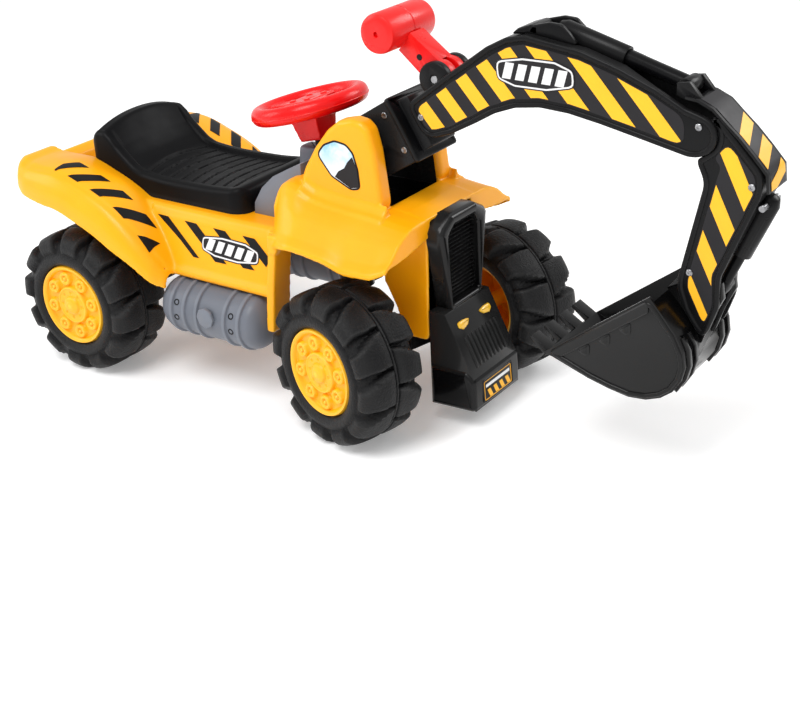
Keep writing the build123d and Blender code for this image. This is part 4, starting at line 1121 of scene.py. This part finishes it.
def steering_wheel():
    """The red steering wheel: deep rim with a seam, spokes and a box hub."""
    centre, lean = (66, 0, 377), radians(14)
    place = onto(centre, (cos(lean), 0, sin(lean)), (0, 1, 0))
    parts = [hoop(place, 67, 10, 11.5, -1, 24), block(place, (-64, 64), (-10, 10), (-9, 2)),
             block(place, (-9, 9), (-64, 64), (-9, 1)),
             block(place, (-21, 21), (-30, 30), (-12, 7)),
             block(place, (-23, 23), (-23, 23), (-46, -8), 6)]
    for run in ((34, 62), (-62, -34)):
        parts.append(block(place, run, (-13, 13), (-8, 4.5)))
    made = fused("steering_wheel_moulding", parts, 1.6, 3, "steering", RED, "red", 0.7)
    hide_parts("steering_wheel")
    piece("steering_wheel_seam", "steering", RED, "red", *hoop(place, 77, 0.5, 0.7, -3, 6))
    for k, (u, v) in enumerate(((-12, -17), (-12, 17), (12, -17), (12, 17))):
        spot = place(u, v, 6)
        out = Vector(place(u, v, 10)) - Vector(spot)
        dome = turned([(0.01, 3.0), (3.4, 2.8), (4.4, 1.8), (4.6, 0)], spot, out, 24)
        piece(f"wheel_button_{k}", "steering", RED, "red", *dome, clean=True)


# ---------------------------------------------------------------- nose
def bumper_details(slope):
    """Ribs on the bumper's slope, its chin, and the label's plain slashes."""
    gloss = ("chassis", BLACK, "black_gloss")
    ribs, pitch = 9, 8.5
    for k in range(ribs):
        y = pitch * (k - (ribs - 1) / 2)
        rows = []
        for t in np.linspace(37, 79, 10):
            swell = 2.4 * min(1.0, 0.35 + (t - 37) / 8, 0.35 + (79 - t) / 8)
            rows.append([slope(t, y + 2.0 * cos(a), 0.1 + swell * sin(a)) for a in turn(10)])
        piece(f"bumper_rib_{k}", *gloss, *loft(rows), smooth=60)
    chin = fillet([(272.5, 24), (334, 26.5), (339.5, 30), (338.5, 68), (333, 76), (326, 80.5),
                   (272.5, 80.5)], 5, 3)
    piece("bumper_chin", *gloss, *pillow(chin, -55, 55, 7, 6), smooth=45, clean=True)
    face = onto((339.4, 0, 49), (0, 1, 0), (-0.068, 0, 0.998))
    outline = fillet([(-35, -16), (35, -16), (35, 16), (-35, 16)], 3, 3)
    ring("label_rim", outline, 2.2, 1.0, face, "chassis", BLACK, "label")
    for k, shape in enumerate(bands([(-30, -12), (30, -12), (30, -1), (-30, -1)], -26, 14, 7, 4,
                                    -0.5)):
        decal(f"label_slash_{k}", shape, face, "chassis", STRIPE, "label")
    decal("label_line", [(-28, 3), (28, 3), (28, 7), (-28, 7)], face, "chassis", PAPER, "label")
    trim = fillet([(-32, -14), (32, -14), (32, 12), (-32, 12)], 2, 2)
    ring("label_trim", trim, 1.2, 0.5, face, "chassis", STRIPE, "label")


def grille():
    """The grille's frame, rounded between its outer edge and its opening, and its slats."""
    outer = fillet([(-57, 150), (-57, 250), (-40, 274), (40, 274), (57, 250), (57, 150)], 24, 6)
    hole = fillet([(-33, 158), (-33, 246), (-24, 259), (24, 259), (33, 246), (33, 158)], 8, 4)
    around_hole = [min(outer, key=lambda p: hypot(p[0] - q[0], p[1] - q[1])) for q in hole]
    rows = []
    for blend, x in ((1.0, 272.4), (1.0, 287.0), (0.97, 292.0), (0.88, 295.2), (0.7, 296.6),
                     (0.45, 297.0), (0.2, 296.2), (0.06, 294.2), (0.0, 290.5), (0.0, 272.4)):
        rows.append([(x, q[0] + (p[0] - q[0]) * blend, q[1] + (p[1] - q[1]) * blend)
                     for p, q in zip(around_hole, hole)])
    stand_in("grille_frame", BLACK, looped(rows), 50)
    slats = []
    count, lowest, pitch = 19, 161, 5.2
    for k in range(count):
        z = lowest + pitch * k
        half = 33.5 if z < 245 else 33.5 - (z - 245) * 0.65
        slats.append(pillow([(281, z - 0.4), (287.5, z + 0.2), (288, z + 1.6), (282, z + 2.2)],
                            -half, half, 0.4, 1))
    slats.append(prism([(278, 159), (281.5, 159), (281.5, 256), (278, 256)], -32, 32))
    stand_in("grille_slats", BLACK, merged(slats), 40)


def headlights(slope):
    """Two teardrop lamps at the top of the bumper's slope."""
    lamps = []
    for side in (1, -1):
        drop = fillet([(19, side * 11), (17, side * 24), (17, side * 36), (24, side * 37),
                       (28, side * 30), (26, side * 20)], 3.2, 4)
        loops = [[slope(t, y, h) for t, y in (inset(drop, i) if i else drop)]
                 for i, h in ((0, -1.0), (0, 1.6), (0.8, 2.6), (2.0, 3.0))]
        lamps.append(loft(loops))
    stand_in("headlights", LAMP, merged(lamps), 40)


def bucket_sides():
    """Rim band, hanging dents and an edge bead on both sides of the bucket."""
    outline = fillet([(446, 143), (470, 134.5), (500, 123.5), (528, 116.5), (552, 112.5),
                      (573, 114.5), (591, 121.5), (604.5, 132), (614, 147.5), (618, 164),
                      (615, 181), (605.5, 200.5), (591, 218), (574, 238)], 12, 4)
    along = Vector((574 - 446, 0, 238 - 143)).normalized()
    gloss = ("bucket", BLACK, "black_gloss")
    for side, label in SIDES:
        ring(f"bucket_bead_{label}", outline, 6, 2.0, side_on(side, BUCKET_Y), *gloss)
        place = onto((446, side * BUCKET_Y, 143), along, (0, 0, 1))

        def lay(u, v, h):
            return place(u, v, -side * h)

        band = fillet([(2, -1), (158, -1), (150, -13), (16, -13)], 3, 3)
        plate(f"bucket_band_{label}", band, [(0, -1), (0, 1.6), (1.2, 2.6)], lay, *gloss)
        for k in range(3):
            u = 48 + 32 * k
            dent = fillet([(u - 10, -13), (u + 12, -13), (u + 3, -25), (u - 3, -25)], 4, 3)
            plate(f"bucket_dent_{label}_{k}", dent, [(0, -1), (0, 0.8), (2.5, 1.8)], lay, *gloss)


def steel_bars(name, bars):
    """Turned steel bars along Y that stand for a node: (profile, x, y, z, direction)."""
    solids = []
    for profile, x, y, z, way in bars:
        rows = []
        for a in turn(28):
            rows.append([(x + r * cos(a), y + way * h, z + r * sin(a)) for r, h in profile])
        solids.append(grid(rows, close_u=True))
    stand_in(name, STEEL, merged(solids), suffix="_turned")


def pins(name, places):
    """Pins with chamfered ends, each x, z, radius and half length."""
    steel_bars(name, [([(0.01, -half), (r - 0.7, -half), (r, 0.7 - half), (r, half - 0.7),
                        (r - 0.7, half), (0.01, half)], x, 0, z, 1) for x, z, r, half in places])


def screws(name, face_y, places):
    """Screw heads with a sunk recess on both side faces of a part."""
    head = [(0.01, 0.4), (1.5, 0.5), (1.8, 1.5), (3.2, 1.7), (3.9, 1.2), (4.1, 0.3), (1.6, 0.2),
            (1.6, -1.8), (0.01, -1.8)]
    steel_bars(name, [(head, x, side * face_y, z, side) for x, z in places for side in (1, -1)])


def shroud():
    """The grey shroud round the steering column, rounded on top."""
    base = fillet([(49, -17), (84, -17), (84, 17), (49, 17)], 13, 6)
    rows = []
    for h, shrink in ((284, 0), (300, 1.0), (314, 2.0), (319, 2.8), (321, 4.2), (321.9, 6.5),
                      (322, 12)):
        rows.append([(x, y, h) for x, y in (inset(base, shrink) if shrink else base)])
    stand_in("column_shroud", GREY, loft(rows), 45)


CORNERS = ("rear_left", "rear_right", "front_left", "front_right")
# How far the edges of the other shown nodes are rounded
SOFT = {"bumper": 3.0, "cavity_liner": 1.0, "rear_axle_block": 2.0, "dash_panel": 4.0,
        "arm_block": 3.0, "arm_flange": 2.0, "stick_guard": 0.8, "lever_discs": 1.5,
        "lever_arm": 2.5, "top_sleeve": 1.2, "low_sleeve": 1.2, "top_rod": 0.8, "low_rod": 0.8,
        "bucket": 1.5, "horn_button": 0.6, "bumper_plate": 0.5, "tank_badge_left": 1.0,
        "tank_badge_right": 1.0, "axle_bracket": 1.5, "steering_column": 1.0, "drag_link": 0.8,
        "steering_bearing": 1.5, "pull_rod": 0.8}

camera()
stage()
shell = rear_body()
cowl = front_cowl()
rear_stickers(shell)
windows(cowl)
well_walls()
seat()
for corner in CORNERS:
    tyre(corner)
    hub(corner)
for side, label in SIDES:
    side_tank(side, label)
arm_stickers()
grip()
steering_wheel()
bumper_slope = onto((296, 0, 151.8), (40, 0, -79.8), (0, 1, 0))
bumper_details(bumper_slope)
grille()
headlights(bumper_slope)
bucket_sides()
cylinder_clevis()
lever_hole_shades()
pins("arm_pin", [(200, 350, 6, 76)])
pins("boom_pins", [(275, 438, 5, 25), (607, 419, 6, 27)])
pins("stick_pins", [(602, 242, 5, 22), (680, 348, 4, 22), (613, 399, 4, 22)])
screws("boom_screws", BOOM_Y, ((258, 392), (609, 429)))
screws("block_screws", 40, ((212, 391), (239, 352)))
screws("stick_screws", STICK_Y, ((669, 371), (604, 262)))
shroud()
for name, width in SOFT.items():
    softened(name, width)
for name, obj in frame["nodes"].items():
    obj.data.materials.clear()
    obj.data.materials.append(SLOT_PAINT[NODE_SLOT[name]])
